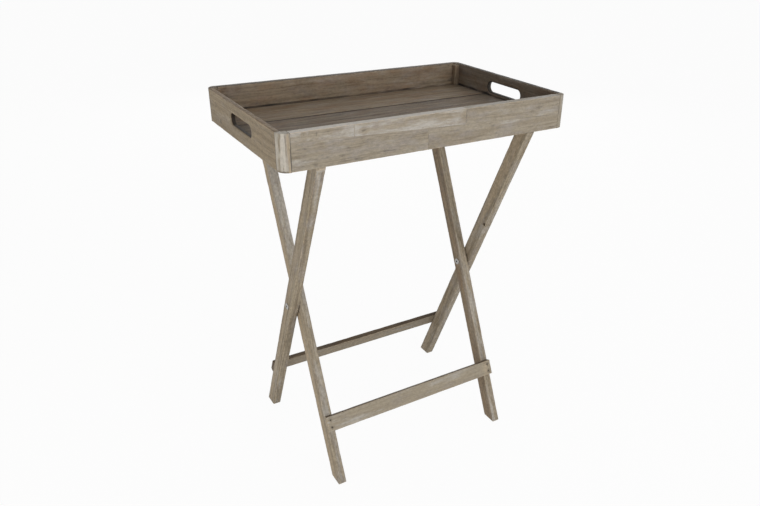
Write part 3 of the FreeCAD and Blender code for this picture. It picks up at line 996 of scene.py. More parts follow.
def as_object(made: bmesh.types.BMesh, name: str) -> bpy.types.Object:
    """Turns a mesh under construction into an object of the scene.

    Args:
        made: The mesh, which is used up.
        name: Name of the object.

    Returns:
        The object.
    """
    mesh = bpy.data.meshes.new(name)
    made.to_mesh(mesh)
    made.free()
    return in_scene(name, mesh)


def in_scene(name: str, data: bpy.types.ID) -> bpy.types.Object:
    """Puts a mesh, a lamp or a camera in the scene.

    Args:
        name: Name of the object.
        data: What it holds.

    Returns:
        The object.
    """
    made = bpy.data.objects.new(name, data)
    bpy.context.scene.collection.objects.link(made)
    return made


def drill(piece: bpy.types.Object, hole: Hole) -> None:
    """Drills a round hole into a piece.

    Args:
        piece: Piece to drill.
        hole: Its hole.
    """
    cutter = bmesh.new()
    turn = hole.inward.to_track_quat("Z", "Y").to_matrix().to_4x4()
    middle = hole.mouth + hole.inward * (hole.depth - DRILL_SPARE) / 2
    radius = hole.diameter / 2
    bmesh.ops.create_cone(cutter, cap_ends=True, segments=HOLE_SIDES, radius1=radius, radius2=radius,
                          depth=hole.depth + DRILL_SPARE, matrix=Matrix.Translation(middle) @ turn)
    tool = as_object(cutter, "drill")
    cut = piece.modifiers.new("drill", "BOOLEAN")
    cut.operation = "DIFFERENCE"
    cut.solver = "EXACT"
    cut.object = tool
    bpy.context.view_layer.update()
    drilled = bpy.data.meshes.new_from_object(piece.evaluated_get(bpy.context.evaluated_depsgraph_get()))
    piece.modifiers.remove(cut)
    undrilled = piece.data
    piece.data = drilled
    drilled.name = piece.name
    bpy.data.meshes.remove(undrilled)
    bpy.data.objects.remove(tool)


def screw_hole(mouth: Vector, inward: Vector) -> Hole:
    """Returns the seat of a sunk screw head."""
    return Hole(mouth, inward, SCREW_HEAD, SCREW_SEAT)


def pivot_point() -> Vector:
    """Returns the point that the stand folds about."""
    fold = next(joint for joint in frame["joints"] if joint["name"] == "stand_fold")
    return Vector(fold["pos_m"])


_materials: dict[str, bpy.types.Material] = {}


def shared_material(finish: WeatheredWood) -> bpy.types.Material:
    """Makes a finish's material once.

    Args:
        finish: Finish of the wood.

    Returns:
        Its material.
    """
    if finish.name not in _materials:
        _materials[finish.name] = finish.material()
    return _materials[finish.name]


# Tray


@dataclass
class Tray:
    """Lift-off tray: walls, corner posts, glue blocks and boarded floor."""

    body: str = "tray"
    slot_length: float = 110.5 * MM
    slot_height: float = 22.4 * MM
    slot_drop: float = 29.8 * MM
    slot_offset: float = 4.8 * MM
    slot_ease: float = 2.5 * MM
    slot_skin: float = 0.8
    slot_room: float = 1.5
    slot_near: float = 0.5 * MM
    slot_level: float = 0.1 * MM
    slot_facets: int = 4
    # Painted shade inside the hand-hold slot.
    slot_shade: float = 2.4
    post_round: float = 17.8 * MM
    post_facets: int = 24
    post_cuts: int = 15
    post_end_round: float = 0.9 * MM
    post_rub_reach: float = 3.0 * MM
    post_rub_waves: float = 90.0
    post_top: float = 0.5 * MM
    # Painted shade on the tops of the back posts.
    back_post_top_shade: float = 1.6
    back_post_tone: float = -0.2
    right_post_tone: float = -0.06
    front_cell: float = 3.0 * MM
    end_cell: float = 3.2 * MM
    end_tone: float = -0.08
    # left_top, right_top and back_top: painted shade on the tops of the walls.
    left_top: float = 1.2
    right_inside: float = 1.31
    right_top: float = 2.3
    back_inside: float = 0.9
    back_top: float = 2.0
    block_cell: float = 5.0 * MM
    block_tone: float = -0.04
    cleat_cell: float = 7.0 * MM
    cleat_shelter: float = 0.6
    floor_arris: float = 1.0 * MM
    # The front and middle boards are painted darker and the back one lighter: painted shade and light.
    floor_board_shades: tuple[tuple[str, float], ...] = (("front", -0.24), ("middle", -0.24), ("back", 0.13))
    joint_left: float = 15.5 * MM
    joint_right: float = -4.0 * MM
    upper_butts: tuple[float, ...] = (-168.0 * MM, 58.0 * MM)
    lower_butts: tuple[float, ...] = (-22.0 * MM,)
    glue_line: float = 0.8 * MM
    glue: Strip = Strip(-0.06, -0.5)
    upper_strips: tuple[Strip, ...] = (Strip(0.01, 0.45), Strip(0.04, 0.42), Strip(-0.05, 0.20))
    lower_strips: tuple[Strip, ...] = (Strip(-0.06, 0.0), Strip(-0.03, 0.05))
    # The top face of the front wall is painted much lighter: a painted highlight along it.
    top_strips: tuple[Strip, ...] = (Strip(0.55, 3.0), Strip(0.42, 2.4), Strip(0.12, 1.0))
    top_edge: float = 0.7 * MM
    # A dark ragged line along the foot of the walls, part dirt and part painted shadow.
    dirt_and_shadow_rise: float = 3.0 * MM
    # How far the painted shade on the floor reaches in from the short walls.
    end_shade_run: float = 55.0 * MM
    dirt_and_shadow_drift: float = 1.2
    dirt_and_shadow_edge: float = 0.5 * MM
    dirt_and_shadow_level: float = 0.9
    dirt_and_shadow_ragged: float = 1.4
    dirt_and_shadow_waves: float = 30.0
    wall_step: float = 50.0
    # The same line on the floor boards where they meet the walls.
    floor_dirt_and_shadow_reach: float = 4.0 * MM
    floor_end_dirt_and_shadow: float = -1.8
    floor_side_dirt_and_shadow: float = -2.4
    # Strength of that painted shade at the left and at the right wall.
    left_gloom: float = 0.8
    right_gloom: float = 0.5
    front_marks: tuple[Mark, ...] = (
        Mark(-120 * MM, 16 * MM, 55 * MM, 12 * MM, 0.6),
        Mark(0.0, 16 * MM, 50 * MM, 18 * MM, -0.35),
        Mark(238 * MM, 17 * MM, 50 * MM, 22 * MM, -0.65),
        Mark(-170 * MM, -25 * MM, 120 * MM, 14 * MM, -0.45),
        Mark(230 * MM, -25 * MM, 90 * MM, 14 * MM, -0.25),
        Mark(-220 * MM, 15 * MM, 60 * MM, 5 * MM, 0.4),
        Mark(-34 * MM, -14 * MM, 22 * MM, 8 * MM, 0.0, 0.35),
        Mark(-225 * MM, 10 * MM, 50 * MM, 3 * MM, 0.0, 0.35),
        Mark(-150 * MM, 20 * MM, 9 * MM, 5 * MM, -1.4),
        Mark(-128 * MM, 22 * MM, 7 * MM, 4 * MM, -1.1),
        Mark(-258 * MM, 27 * MM, 3 * MM, 8 * MM, -1.6),
        Mark(-245 * MM, 27 * MM, 3 * MM, 8 * MM, -1.5),
        Mark(-236 * MM, 26 * MM, 3 * MM, 8 * MM, -1.6),
        Mark(-215 * MM, 27 * MM, 12 * MM, 3 * MM, -1.3),
        Mark(56 * MM, 18 * MM, 7 * MM, 7 * MM, -1.3),
        Mark(120 * MM, -7 * MM, 14 * MM, 5 * MM, -1.1),
        Mark(155 * MM, -9 * MM, 30 * MM, 7 * MM, 0.5),
    )
    # Painted shade in the two inner corners of the back wall.
    back_corner_shade: tuple[Mark, ...] = (
        Mark(282 * MM, 10 * MM, 30 * MM, 40 * MM, -0.9),
        Mark(-278 * MM, -10 * MM, 14 * MM, 40 * MM, -0.8),
    )
    left_marks: tuple[Mark, ...] = (
        Mark(-112 * MM, -18 * MM, 4 * MM, 4 * MM, -2.4),
        Mark(-130 * MM, 10 * MM, 12 * MM, 8 * MM, -0.9),
        Mark(70 * MM, -8 * MM, 30 * MM, 14 * MM, -0.5),
        Mark(95 * MM, 31 * MM, 75 * MM, 1.6 * MM, 0.0, 1.0),
    )
    # Fissures, chips and a darker foot, with pale marks down the round and at the top that paint its
    # highlights.
    post_marks: tuple[Mark, ...] = (
        Mark(14 * MM, 6.0 * MM, 12 * MM, 1.0 * MM, -1.1),
        Mark(-14 * MM, 7.2 * MM, 9 * MM, 1.0 * MM, -0.9),
        Mark(27 * MM, 4.6 * MM, 5 * MM, 0.9 * MM, -1.6),
        Mark(0.0, 9.3 * MM, 30 * MM, 1.4 * MM, 0.8),
        Mark(20 * MM, 2.4 * MM, 15 * MM, 2.4 * MM, 2.2),
        Mark(-8 * MM, 4.6 * MM, 26 * MM, 2.6 * MM, 0.5),
        Mark(-10 * MM, 2.0 * MM, 25 * MM, 4.0 * MM, 0.9),
        Mark(10 * MM, -1.4 * MM, 22 * MM, 0.8 * MM, -1.0),
        Mark(10 * MM, -5.5 * MM, 26 * MM, 2.6 * MM, -0.5, 1.0),
        Mark(-20 * MM, -6.5 * MM, 14 * MM, 1.4 * MM, 0.0, 0.6),
        Mark(-14 * MM, -9.0 * MM, 22 * MM, 0.7 * MM, -2.0),
        Mark(-31 * MM, -6.5 * MM, 2.5 * MM, 2.0 * MM, 0.0, 1.0),
        Mark(-32.5 * MM, 2.0 * MM, 1.2 * MM, 8.0 * MM, -2.2),
        Mark(-24 * MM, 3.4 * MM, 6 * MM, 1.0 * MM, -1.2),
    )

    def __post_init__(self) -> None:
        """Measures the front wall."""
        low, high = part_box("front_rail")
        self.front_length = high.x - low.x
        self.front_height = high.z - low.z

    def build(self) -> None:
        """Makes every wooden piece of the tray."""
        self._front_rail()
        self._back_rail()
        for side in Side:
            self._end_board(side)
            for row in ("front", "back"):
                self._post(f"{row}_{side.word}_post", side, row)
                self._block(f"{row}_{side.word}_block")
            self._cleat(f"{side.word}_floor_cleat")
        for name, tone in self.floor_board_shades:
            self._floor_board(name, tone)
        self._cleat("floor_batten")

    def _back_rail(self) -> None:
        """Makes the back wall, with dirt and painted shadow along the floor."""
        billet = Billet.of_node("back_rail", self.body, -AXIS_X, AXIS_Z)
        billet.shelter_and_shade = self._inner_side(billet, self.back_inside, self.back_top, self.dirt_and_shadow_drift)
        billet.marks = self.back_corner_shade
        made = billet.box()
        for edge in (-self.dirt_and_shadow_edge, self.dirt_and_shadow_edge):
            score(made, made.faces, AXIS_Y * (self._dirt_and_shadow_height(billet) + edge), AXIS_Y)
        billet.weather(made)
        billet.finish(made, WALL_WOOD)

    def _floor_board(self, name: str, tone: float) -> None:
        """Makes a board of the floor, with painted shade that is darkest against the short walls.

        Args:
            name: Place of the board.
            tone: How much lighter it is than its neighbours, as painted shade near the front wall and
                painted light at the back.
        """
        billet = Billet.of_node(f"floor_board_{name}", self.body, AXIS_X, AXIS_Y, arris=self.floor_arris,
                                tone=tone)
        half_length = billet.size.x / 2

        def shelter_and_shade(point: Vector) -> float:
            """Returns the shelter, with painted shade that grows towards the short walls and most on the
            left.
            """
            gloom = self.left_gloom if point.x < 0.0 else self.right_gloom
            return INDOORS + gloom * within(1.0 - (half_length - abs(point.x)) / self.end_shade_run, 0.0, 1.0)
        billet.shelter_and_shade = shelter_and_shade
        billet.marks = self._corner_dirt_and_shadow(billet)
        billet.make(FLOOR_WOOD)

    def _dirt_and_shadow_height(self, wall: Billet) -> float:
        """Returns how high the dirt and painted shadow over the floor reach, in a wall's own axes."""
        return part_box("floor_board_middle")[1].z - wall.place.translation.z + self.dirt_and_shadow_rise

    def _corner_dirt_and_shadow(self, billet: Billet) -> tuple[Mark, ...]:
        """Returns the dirt and painted shadow of a floor board along the walls that it meets.

        Args:
            billet: The board.

        Returns:
            Marks along its ends, and along a long side that meets a wall.
        """
        length, width, _ = billet.size
        reach = self.floor_dirt_and_shadow_reach
        ends = tuple(Mark(half * length, 0.0, reach, EVERYWHERE, self.floor_end_dirt_and_shadow) for half in HALVES)
        wall = {"floor_board_back": width / 2, "floor_board_front": -width / 2}.get(billet.node)
        if wall is None:
            return ends
        return (*ends, Mark(0.0, wall, EVERYWHERE, reach, self.floor_side_dirt_and_shadow))

    def _front_rail(self) -> None:
        """Makes the front wall, which is glued up from strips."""
        billet = Billet.of_node("front_rail", self.body, AXIS_X, AXIS_Z, marks=self.front_marks,
                                cell=self.front_cell)
        billet.shelter_and_shade = self._inner_side(billet, INDOORS, OPEN)
        billet.strips = (self.glue, *self.upper_strips, *self.lower_strips, *self.top_strips)
        billet.strip_at = self._front_strip
        made = billet.box()
        fall = (self.joint_right - self.joint_left) / self.front_length
        across = Vector((-fall, 1.0, 0.0)).normalized()
        joint = self._joint_height(0.0) * across.y
        for half in HALVES:
            score(made, made.faces, across * (joint + half * self.glue_line), across)
        for butts, above in ((self.upper_butts, True), (self.lower_butts, False)):
            for line in (butt + half * self.glue_line for butt in butts for half in HALVES):
                row = [face for face in made.faces if self._over_joint(face.calc_center_median()) is above]
                score(made, row, AXIS_X * line, AXIS_X)
        billet.weather(made)
        billet.finish(made, WALL_WOOD)

    def _joint_height(self, along: float) -> float:
        """Returns the height of the front wall's long joint, in the wall's own axes."""
        return self.joint_left + (self.joint_right - self.joint_left) * (along / self.front_length + 0.5)

    def _over_joint(self, middle: Vector) -> bool:
        """Tells whether a point of the front wall lies over its long joint."""
        return middle.y > self._joint_height(middle.x)

    def _front_strip(self, middle: Vector) -> int:
        """Finds the strip of the front wall that a point lies in.

        Args:
            middle: The point in the wall's own axes.

        Returns:
            The strip's index, where 0 is a glue line.
        """
        half_line = self.glue_line / 2
        if middle.y > self.front_height / 2 - self.top_edge:
            first = 1 + len(self.upper_strips + self.lower_strips)
            return first + sum(middle.x > butt for butt in self.upper_butts)
        above = self._over_joint(middle)
        butts = self.upper_butts if above else self.lower_butts
        on_joint = abs(middle.y - self._joint_height(middle.x)) < half_line
        if on_joint or any(abs(middle.x - butt) < half_line for butt in butts):
            return 0
        first = 1 if above else 1 + len(self.upper_strips)
        return first + sum(middle.x > butt for butt in butts)

    def _inner_side(self, billet: Billet, inside: float, top: float,
                    drift: float = 0.0) -> Callable[[Vector], float]:
        """Makes the shelter of a wall, with any painted shade on its top and dirt and painted shadow along
        the floor.

        Args:
            billet: The wall.
            inside: Shelter of its inner face.
            top: Shelter of its top, where shade is painted.
            drift: How much more dirt and painted shadow lies at one end than at the other.

        Returns:
            The shelter at a point in the wall's own axes.
        """
        thickness = billet.size.z
        rim = billet.size.y / 2 - SKIN
        # Height of that line of dirt and painted shadow over the floor.
        dirt = self._dirt_and_shadow_height(billet)

        def shelter_and_shade(point: Vector) -> float:
            """Works out the shelter, which grows from the outer face to the inner one, with dirt and
            painted shadow along the floor.

            Args:
                point: The point in the wall's own axes.

            Returns:
                The shelter.
            """
            if point.y > rim:
                return top
            depth = inside * within(0.5 - point.z / thickness, 0.0, 1.0)
            if point.y > dirt or point.z > 0.0:
                return depth
            ragged = noise.noise(Vector((self.dirt_and_shadow_waves * point.x, self.wall_step * billet.size.x, 0.0)))
            level = self.dirt_and_shadow_level + drift * point.x / billet.size.x
            return depth + max(0.0, level + self.dirt_and_shadow_ragged * ragged)
        return shelter_and_shade

    def _end_board(self, side: Side) -> None:
        """Makes a short wall with its hand-hold slot.

        Args:
            side: End of the tray.
        """
        billet = Billet.of_node(f"{side.word}_end_board", self.body, AXIS_Y * side.value, AXIS_Z,
                                cell=self.end_cell, tone=self.end_tone)
        right = side is Side.RIGHT
        inside, top = (self.right_inside, self.right_top) if right else (INDOORS, self.left_top)
        wall = self._inner_side(billet, inside, top)
        middle = Vector((-self.slot_offset * side.value, billet.size.y / 2 - self.slot_drop, 0.0))
        skin = billet.size.z / 2 - self.slot_skin * self.slot_ease

        def shelter_and_shade(point: Vector) -> float:
            """Returns the shelter of the wall, with painted shade deepest in the slot."""
            in_slot = self._from_slot(point, middle) < self.slot_ease and point.z < skin
            return self.slot_shade if in_slot else wall(point)
        billet.shelter_and_shade = shelter_and_shade
        billet.marks = () if right else self.left_marks
        made = self._slotted(billet, middle)
        billet.weather(made)
        billet.finish(made, FAR_END_WOOD if right else END_WOOD)

    def _slot_spine(self, point: Vector, middle: Vector) -> float:
        """Returns where the slot's middle line comes nearest to a point, along the board."""
        reach = (self.slot_length - self.slot_height) / 2
        return within(point.x - middle.x, -reach, reach) + middle.x

    def _from_slot(self, point: Vector, middle: Vector) -> float:
        """Returns how far a point lies outside the slot's outline, in the board's own axes."""
        spine = self._slot_spine(point, middle)
        return math.hypot(point.x - spine, point.y - middle.y) - self.slot_height / 2

    def _slotted(self, billet: Billet, middle: Vector) -> bmesh.types.BMesh:
        """Saws a board and cuts its slot.

        Args:
            billet: The board.
            middle: Middle of the slot in the board's own axes.

        Returns:
            Its mesh in its own axes.
        """
        length, width, thickness = billet.size
        columns = 2 * round(length / billet.cell / 2)
        rows = round(width / billet.cell)
        made = bmesh.new()
        bmesh.ops.create_grid(made, x_segments=columns, y_segments=rows, size=0.5)
        bmesh.ops.transform(made, matrix=Matrix.Diagonal((length, width, 1.0, 1.0)), verts=made.verts)
        outside = {edge for edge in made.edges if edge.is_boundary}
        room = self.slot_room * billet.cell
        waste = [face for face in made.faces
                 if abs(face.calc_center_median().x - middle.x) < self.slot_length / 2 + room
                 and abs(face.calc_center_median().y - middle.y) < self.slot_height / 2 + room]
        bmesh.ops.delete(made, geom=waste, context="FACES")
        opening = [edge for edge in made.edges if edge.is_boundary and edge not in outside]
        self._round_opening({vert for edge in opening for vert in edge.verts}, middle)
        bmesh.ops.translate(made, vec=(0.0, 0.0, thickness / 2), verts=made.verts)
        grown = bmesh.ops.extrude_face_region(made, geom=list(made.faces), use_keep_orig=True)
        moved = [item for item in grown["geom"] if isinstance(item, bmesh.types.BMVert)]
        bmesh.ops.translate(made, vec=(0.0, 0.0, -thickness), verts=moved)
        bmesh.ops.recalc_face_normals(made, faces=made.faces)
        rims = [edge for edge in sharp_edges(made)
                if all(abs(self._from_slot(vert.co, middle)) < self.slot_near for vert in edge.verts)
                and abs(edge.verts[0].co.z - edge.verts[1].co.z) < self.slot_level]
        round_edges(made, rims, self.slot_ease, self.slot_facets)
        half_width = width / 2 - billet.arris / 2
        long_arrises = [edge for edge in sharp_edges(made) if runs_along(edge, AXIS_X)
                        and abs(edge.verts[0].co.y) > half_width]
        round_edges(made, long_arrises, billet.arris, ARRIS_FACETS)
        return made

    def _round_opening(self, rim: set[bmesh.types.BMVert], middle: Vector) -> None:
        """Brings the rim of a square opening to the slot's outline, with its half-round ends.

        Args:
            rim: Vertices round the opening.
            middle: Middle of the slot in the board's own axes.
        """
        for vert in rim:
            spine = Vector((self._slot_spine(vert.co, middle), middle.y, 0.0))
            vert.co = spine + (vert.co - spine).normalized() * self.slot_height / 2

    def _post(self, node: str, side: Side, row: str) -> None:
        """Makes a corner post with a round outside.

        Args:
            node: Node that it replaces.
            side: End of the tray.
            row: Front or back.
        """
        low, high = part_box(node)
        outward = Vector((side.value, 1.0 if row == "back" else -1.0, 0.0))
        wall_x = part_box(f"{side.word}_end_board")
        wall_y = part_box(f"{row}_rail")
        width = high - low
        thick_x = wall_x[1].x - wall_x[0].x
        thick_y = wall_y[1].y - wall_y[0].y
        billet = Billet(node, self.body, Vector((width.z, width.x, width.y)),
                        Matrix.Translation((low + high) / 2) @ axes(AXIS_Z, AXIS_X * outward.x))
        flip = outward.x * outward.y
        made = bmesh.new()
        half_x, half_y = width.x / 2, width.y / 2
        outline = ((half_x, half_y), (-half_x, half_y), (-half_x, half_y - thick_y),
                   (half_x - thick_x, half_y - thick_y), (half_x - thick_x, -half_y), (half_x, -half_y))
        corners = [made.verts.new((-width.z / 2, across, through * flip)) for across, through in outline]
        bottom = made.faces.new(corners)
        grown = bmesh.ops.extrude_face_region(made, geom=[bottom], use_keep_orig=True)
        raised = [item for item in grown["geom"] if isinstance(item, bmesh.types.BMVert)]
        bmesh.ops.translate(made, vec=(width.z, 0.0, 0.0), verts=raised)
        bmesh.ops.recalc_face_normals(made, faces=made.faces)
        corner = [edge for edge in edges_along(made, AXIS_X)
                  if edge.verts[0].co.y > half_x - MM and edge.verts[0].co.z * flip > half_y - MM]
        round_edges(made, corner, self.post_round, self.post_facets)
        long_edges = edges_along(made, AXIS_X)
        bmesh.ops.subdivide_edges(made, edges=long_edges, cuts=self.post_cuts, use_grid_fill=True)
        seams = [edge for edge in sharp_edges(made) if runs_along(edge, AXIS_X)]
        round_edges(made, seams, billet.end_arris, SMALL_FACETS)
        ends = [edge for edge in sharp_edges(made) if billet.at_end(edge)]
        round_edges(made, ends, self.post_end_round, ARRIS_FACETS)
        self._weather_post(made, billet)
        if row == "back":
            top = width.z / 2 - self.post_top
            billet.tone = self.back_post_tone
            billet.shelter_and_shade = lambda point: self.back_post_top_shade if point.x > top else OPEN
            billet.finish(made, WALL_POST_WOOD)
        elif side is Side.LEFT:
            billet.marks = self.post_marks
            billet.finish(made, POST_WOOD)
        else:
            billet.tone = self.right_post_tone
            billet.finish(made, WALL_POST_WOOD)

    def _weather_post(self, made: bmesh.types.BMesh, billet: Billet) -> None:
        """Rubs the ends of a post unevenly.

        Args:
            made: The post's mesh in its own axes.
            billet: The post.
        """
        made.normal_update()
        start = noise_start()
        for vert in made.verts:
            end = (billet.size.x / 2 - abs(vert.co.x)) / self.post_rub_reach
            rough = noise.noise(vert.co * self.post_rub_waves + start)
            if end < 1.0 and rough > 0.0:
                vert.co -= vert.normal * billet.rub * rough * (1.0 - end)

    def _block(self, node: str) -> None:
        """Makes a glue block in an inside corner.

        Args:
            node: Node that it replaces.
        """
        billet = Billet.of_node(node, self.body, AXIS_Z, AXIS_X, cell=self.block_cell, tone=self.block_tone)
        billet.shelter_and_shade = lambda point: INDOORS
        billet.make(BLOCK_WOOD)

    def _cleat(self, node: str) -> None:
        """Makes a strip under the floor with its sunk screw heads.

        Args:
            node: Node that it replaces.
        """
        low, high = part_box(node)
        middle = (low + high) / 2
        screws = []
        for board, _ in self.floor_board_shades:
            board_low, board_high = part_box(f"floor_board_{board}")
            screws.append(screw_hole(Vector((middle.x, (board_low.y + board_high.y) / 2, low.z)), AXIS_Z))
        billet = Billet.of_node(node, self.body, AXIS_Y, AXIS_X, holes=tuple(screws), cell=self.cleat_cell)
        billet.shelter_and_shade = lambda point: self.cleat_shelter
        billet.make(FLOOR_WOOD)


# Stand


@dataclass
class StandFrame:
    """One of the two crossing frames of the stand."""

    body: str
    lean: Lean
    leg_name: str
    stretcher: str
    top_rail: str
    pivot_hole: float
    leg_width: float = 31.5 * MM
    leg_inset: float = 26.0 * MM
    leg_arris: float = 1.8 * MM
    top_chamfer: float = 6.0 * MM
    stretcher_height: float = 33.4 * MM
    stretcher_thickness: float = 10.7 * MM
    stretcher_lift: float = 110.5 * MM
    nail_hole: float = 2.7 * MM
    nail_spacing: float = 15.4 * MM
    rust_reach: float = 2.2 * MM
    rust_wash: float = -2.0
    leg_cell: float = 4.0 * MM
    leg_rub: float = 0.7 * MM
    cut_arris: float = 0.4 * MM
    stretcher_rub: float = 0.6 * MM
    stretcher_end_arris: float = 0.8 * MM
    # Painted shade on the top of the stretcher.
    stretcher_top_shade: float = 1.8
    tan_side: Mark = Mark(0.0, 3.0 * MM, EVERYWHERE, 11.0 * MM, -0.1, 0.5)
    grey_front: Mark = Mark(0.0, -16.0 * MM, EVERYWHERE, 5.0 * MM, 0.12)
    leg_marks: dict[Side, tuple[Mark, ...]] = field(default_factory=dict)
    # Painted shade on a leg's face towards the other leg.
    inner_face_shade: float = OPEN
    stretcher_marks: tuple[Mark, ...] = ()
    stretcher_tone: float = 0.0
    # Painted shade on the stretcher's sawn ends.
    end_shade: float = OPEN
    empty_hole: float = 6.4 * MM
    empty_hole_depth: float = 8.0 * MM
    empty_hole_wash: float = -2.5
    # Painted shade deep inside the empty hole.
    empty_hole_shade: float = 2.5
    empty_hole_reach: float = 0.6
    empty_holes: dict[Side, tuple[float, float]] = field(default_factory=dict)

    def __post_init__(self) -> None:
        """Works out the frame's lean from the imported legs."""
        self.pivot = pivot_point()
        self.leg_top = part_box(f"left_{self.leg_name}")[1].z
        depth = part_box("back_rail")[1].y
        self.angle = math.atan2(depth - self.leg_inset, self.leg_top - self.pivot.z) * self.lean.value
        self.up = Vector((0.0, -math.sin(self.angle), math.cos(self.angle)))
        self.across = Vector((0.0, math.cos(self.angle), math.sin(self.angle)))

    def build(self) -> None:
        """Makes the frame's legs, stretcher and top rail."""
        for side in Side:
            self._leg(side)
        self._stretcher()
        self._top_rail()

    def _leg_middle(self, side: Side) -> float:
        """Returns the X coordinate of a leg's middle."""
        low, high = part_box(f"{side.word}_{self.leg_name}")
        return (low.x + high.x) / 2

    def _leg(self, side: Side) -> None:
        """Saws a leg from a long bar, with level cuts at its foot and top.

        Args:
            side: Left or right leg.
        """
        node = f"{side.word}_{self.leg_name}"
        low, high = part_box(node)
        middle = Vector(((low.x + high.x) / 2, 0.0, self.pivot.z))
        reach = (self.leg_top - self.pivot.z) / math.cos(self.angle) + self.leg_width
        place = Matrix.Translation(middle) @ axes(self.up, self.across)
        thickness = high.x - low.x
        bore = Vector((low.x, 0.0, self.pivot.z))
        holes = [Hole(bore, AXIS_X, self.pivot_hole, thickness + DRILL_SPARE)]
        marks = [self.tan_side, self.grey_front, *self.leg_marks.get(side, ())]
        if side in self.empty_holes:
            along, across = self.empty_holes[side]
            radius = self.empty_hole / 2
            # A dark mark at the empty hole: a dark rim, and painted shade in its mouth.
            marks.append(Mark(along, across, radius, radius, self.empty_hole_wash))
            mouth = bore + self.up * along + self.across * across
            holes.append(Hole(mouth, AXIS_X, self.empty_hole, self.empty_hole_depth))
        billet = Billet(node, self.body, Vector((2 * reach, self.leg_width, thickness)), place,
                        arris=self.leg_arris, cell=self.leg_cell, holes=tuple(holes), rub=self.leg_rub,
                        marks=tuple(marks))
        billet.shelter_and_shade = self._leg_shade(side, billet)
        made = billet.box()
        billet.weather(made)
        level = Vector((math.cos(self.angle), math.sin(self.angle), 0.0))
        saw(made, level * -self.pivot.z, -level)
        rise = self.leg_top - self.pivot.z
        saw(made, level * rise, level)
        face = Vector((0.0, -float(self.lean.value), 0.0))
        nose_y = face.y * self.leg_width / 2
        nose_x = (rise - nose_y * level.y) / level.x
        saw(made, Vector((nose_x - self.top_chamfer, nose_y, 0.0)), (level + face).normalized())
        round_edges(made, sharp_edges(made), self.cut_arris, SMALL_FACETS)
        billet.end_margin = lambda point: min(rise - level.dot(point), level.dot(point) + self.pivot.z)
        billet.finish(made, LEG_WOOD)

    def _leg_shade(self, side: Side, billet: Billet) -> Callable[[Vector], float]:
        """Makes the painted shade of a leg, on its face towards the other leg and in its empty hole.

        Args:
            side: Left or right leg.
            billet: The leg.

        Returns:
            The painted shade at a point in the leg's own axes.
        """
        skin = billet.size.z / 2 - SKIN
        pit = billet.size.z / 2 - self.empty_hole_depth / 2
        reach = self.empty_hole_reach * self.empty_hole
        hole = self.empty_holes.get(side)

        def shelter_and_shade(point: Vector) -> float:
            """Works out the painted shade, which is deepest in the empty hole.

            Args:
                point: The point in the leg's own axes.

            Returns:
                The painted shade.
            """
            if hole and point.z < pit and math.dist(point.xy, hole) < reach:
                return self.empty_hole_shade
            return self.inner_face_shade if point.z * side.value > skin else OPEN
        return shelter_and_shade

    def _stretcher(self) -> None:
        """Makes the low cross piece with its nail holes."""
        low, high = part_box(self.stretcher)
        outward = self.across * self.lean.value
        seat = self.leg_width / 2 + self.stretcher_thickness / 2
        height = self.stretcher_lift - self.pivot.z / math.cos(self.angle) + self.stretcher_height / 2
        middle = self.pivot + outward * seat + self.up * height
        turn = axes(AXIS_X * -self.lean.value, self.up)
        face = middle + outward * self.stretcher_thickness / 2
        holes = []
        marks = list(self.stretcher_marks)
        for nail_x in (self._leg_middle(side) for side in Side):
            for rise in (half * self.nail_spacing for half in HALVES):
                mouth = face + AXIS_X * nail_x + self.up * rise
                holes.append(Hole(mouth, -outward, self.nail_hole, 2 * self.stretcher_thickness))
                marks.append(Mark(-self.lean.value * nail_x, rise, self.rust_reach, self.rust_reach,
                                  self.rust_wash))
        size = Vector((high.x - low.x, self.stretcher_height, self.stretcher_thickness))
        billet = Billet(self.stretcher, self.body, size, Matrix.Translation(middle) @ turn,
                        holes=tuple(holes), end_arris=self.stretcher_end_arris, rub=self.stretcher_rub,
                        marks=tuple(marks), tone=self.stretcher_tone)
        top = self.stretcher_height / 2 - SKIN
        end = size.x / 2 - SKIN

        def shelter_and_shade(point: Vector) -> float:
            """Works out the painted shade of the top and of the sawn ends.

            Args:
                point: The point in the stretcher's own axes.

            Returns:
                The painted shade.
            """
            if point.y > top:
                return self.stretcher_top_shade
            return self.end_shade if abs(point.x) > end else OPEN
        billet.shelter_and_shade = shelter_and_shade
        billet.make(STRETCHER_WOOD)

    def _top_rail(self) -> None:
        """Makes the flat rail across the tops of the legs."""
        low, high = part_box(self.top_rail)
        middle = (low + high) / 2
        mouths = [Vector((self._leg_middle(side), middle.y, high.z)) for side in Side]
        holes = tuple(screw_hole(mouth, -AXIS_Z) for mouth in mouths)
        Billet.of_node(self.top_rail, self.body, AXIS_X, AXIS_Y, holes=holes).make(STRETCHER_WOOD)


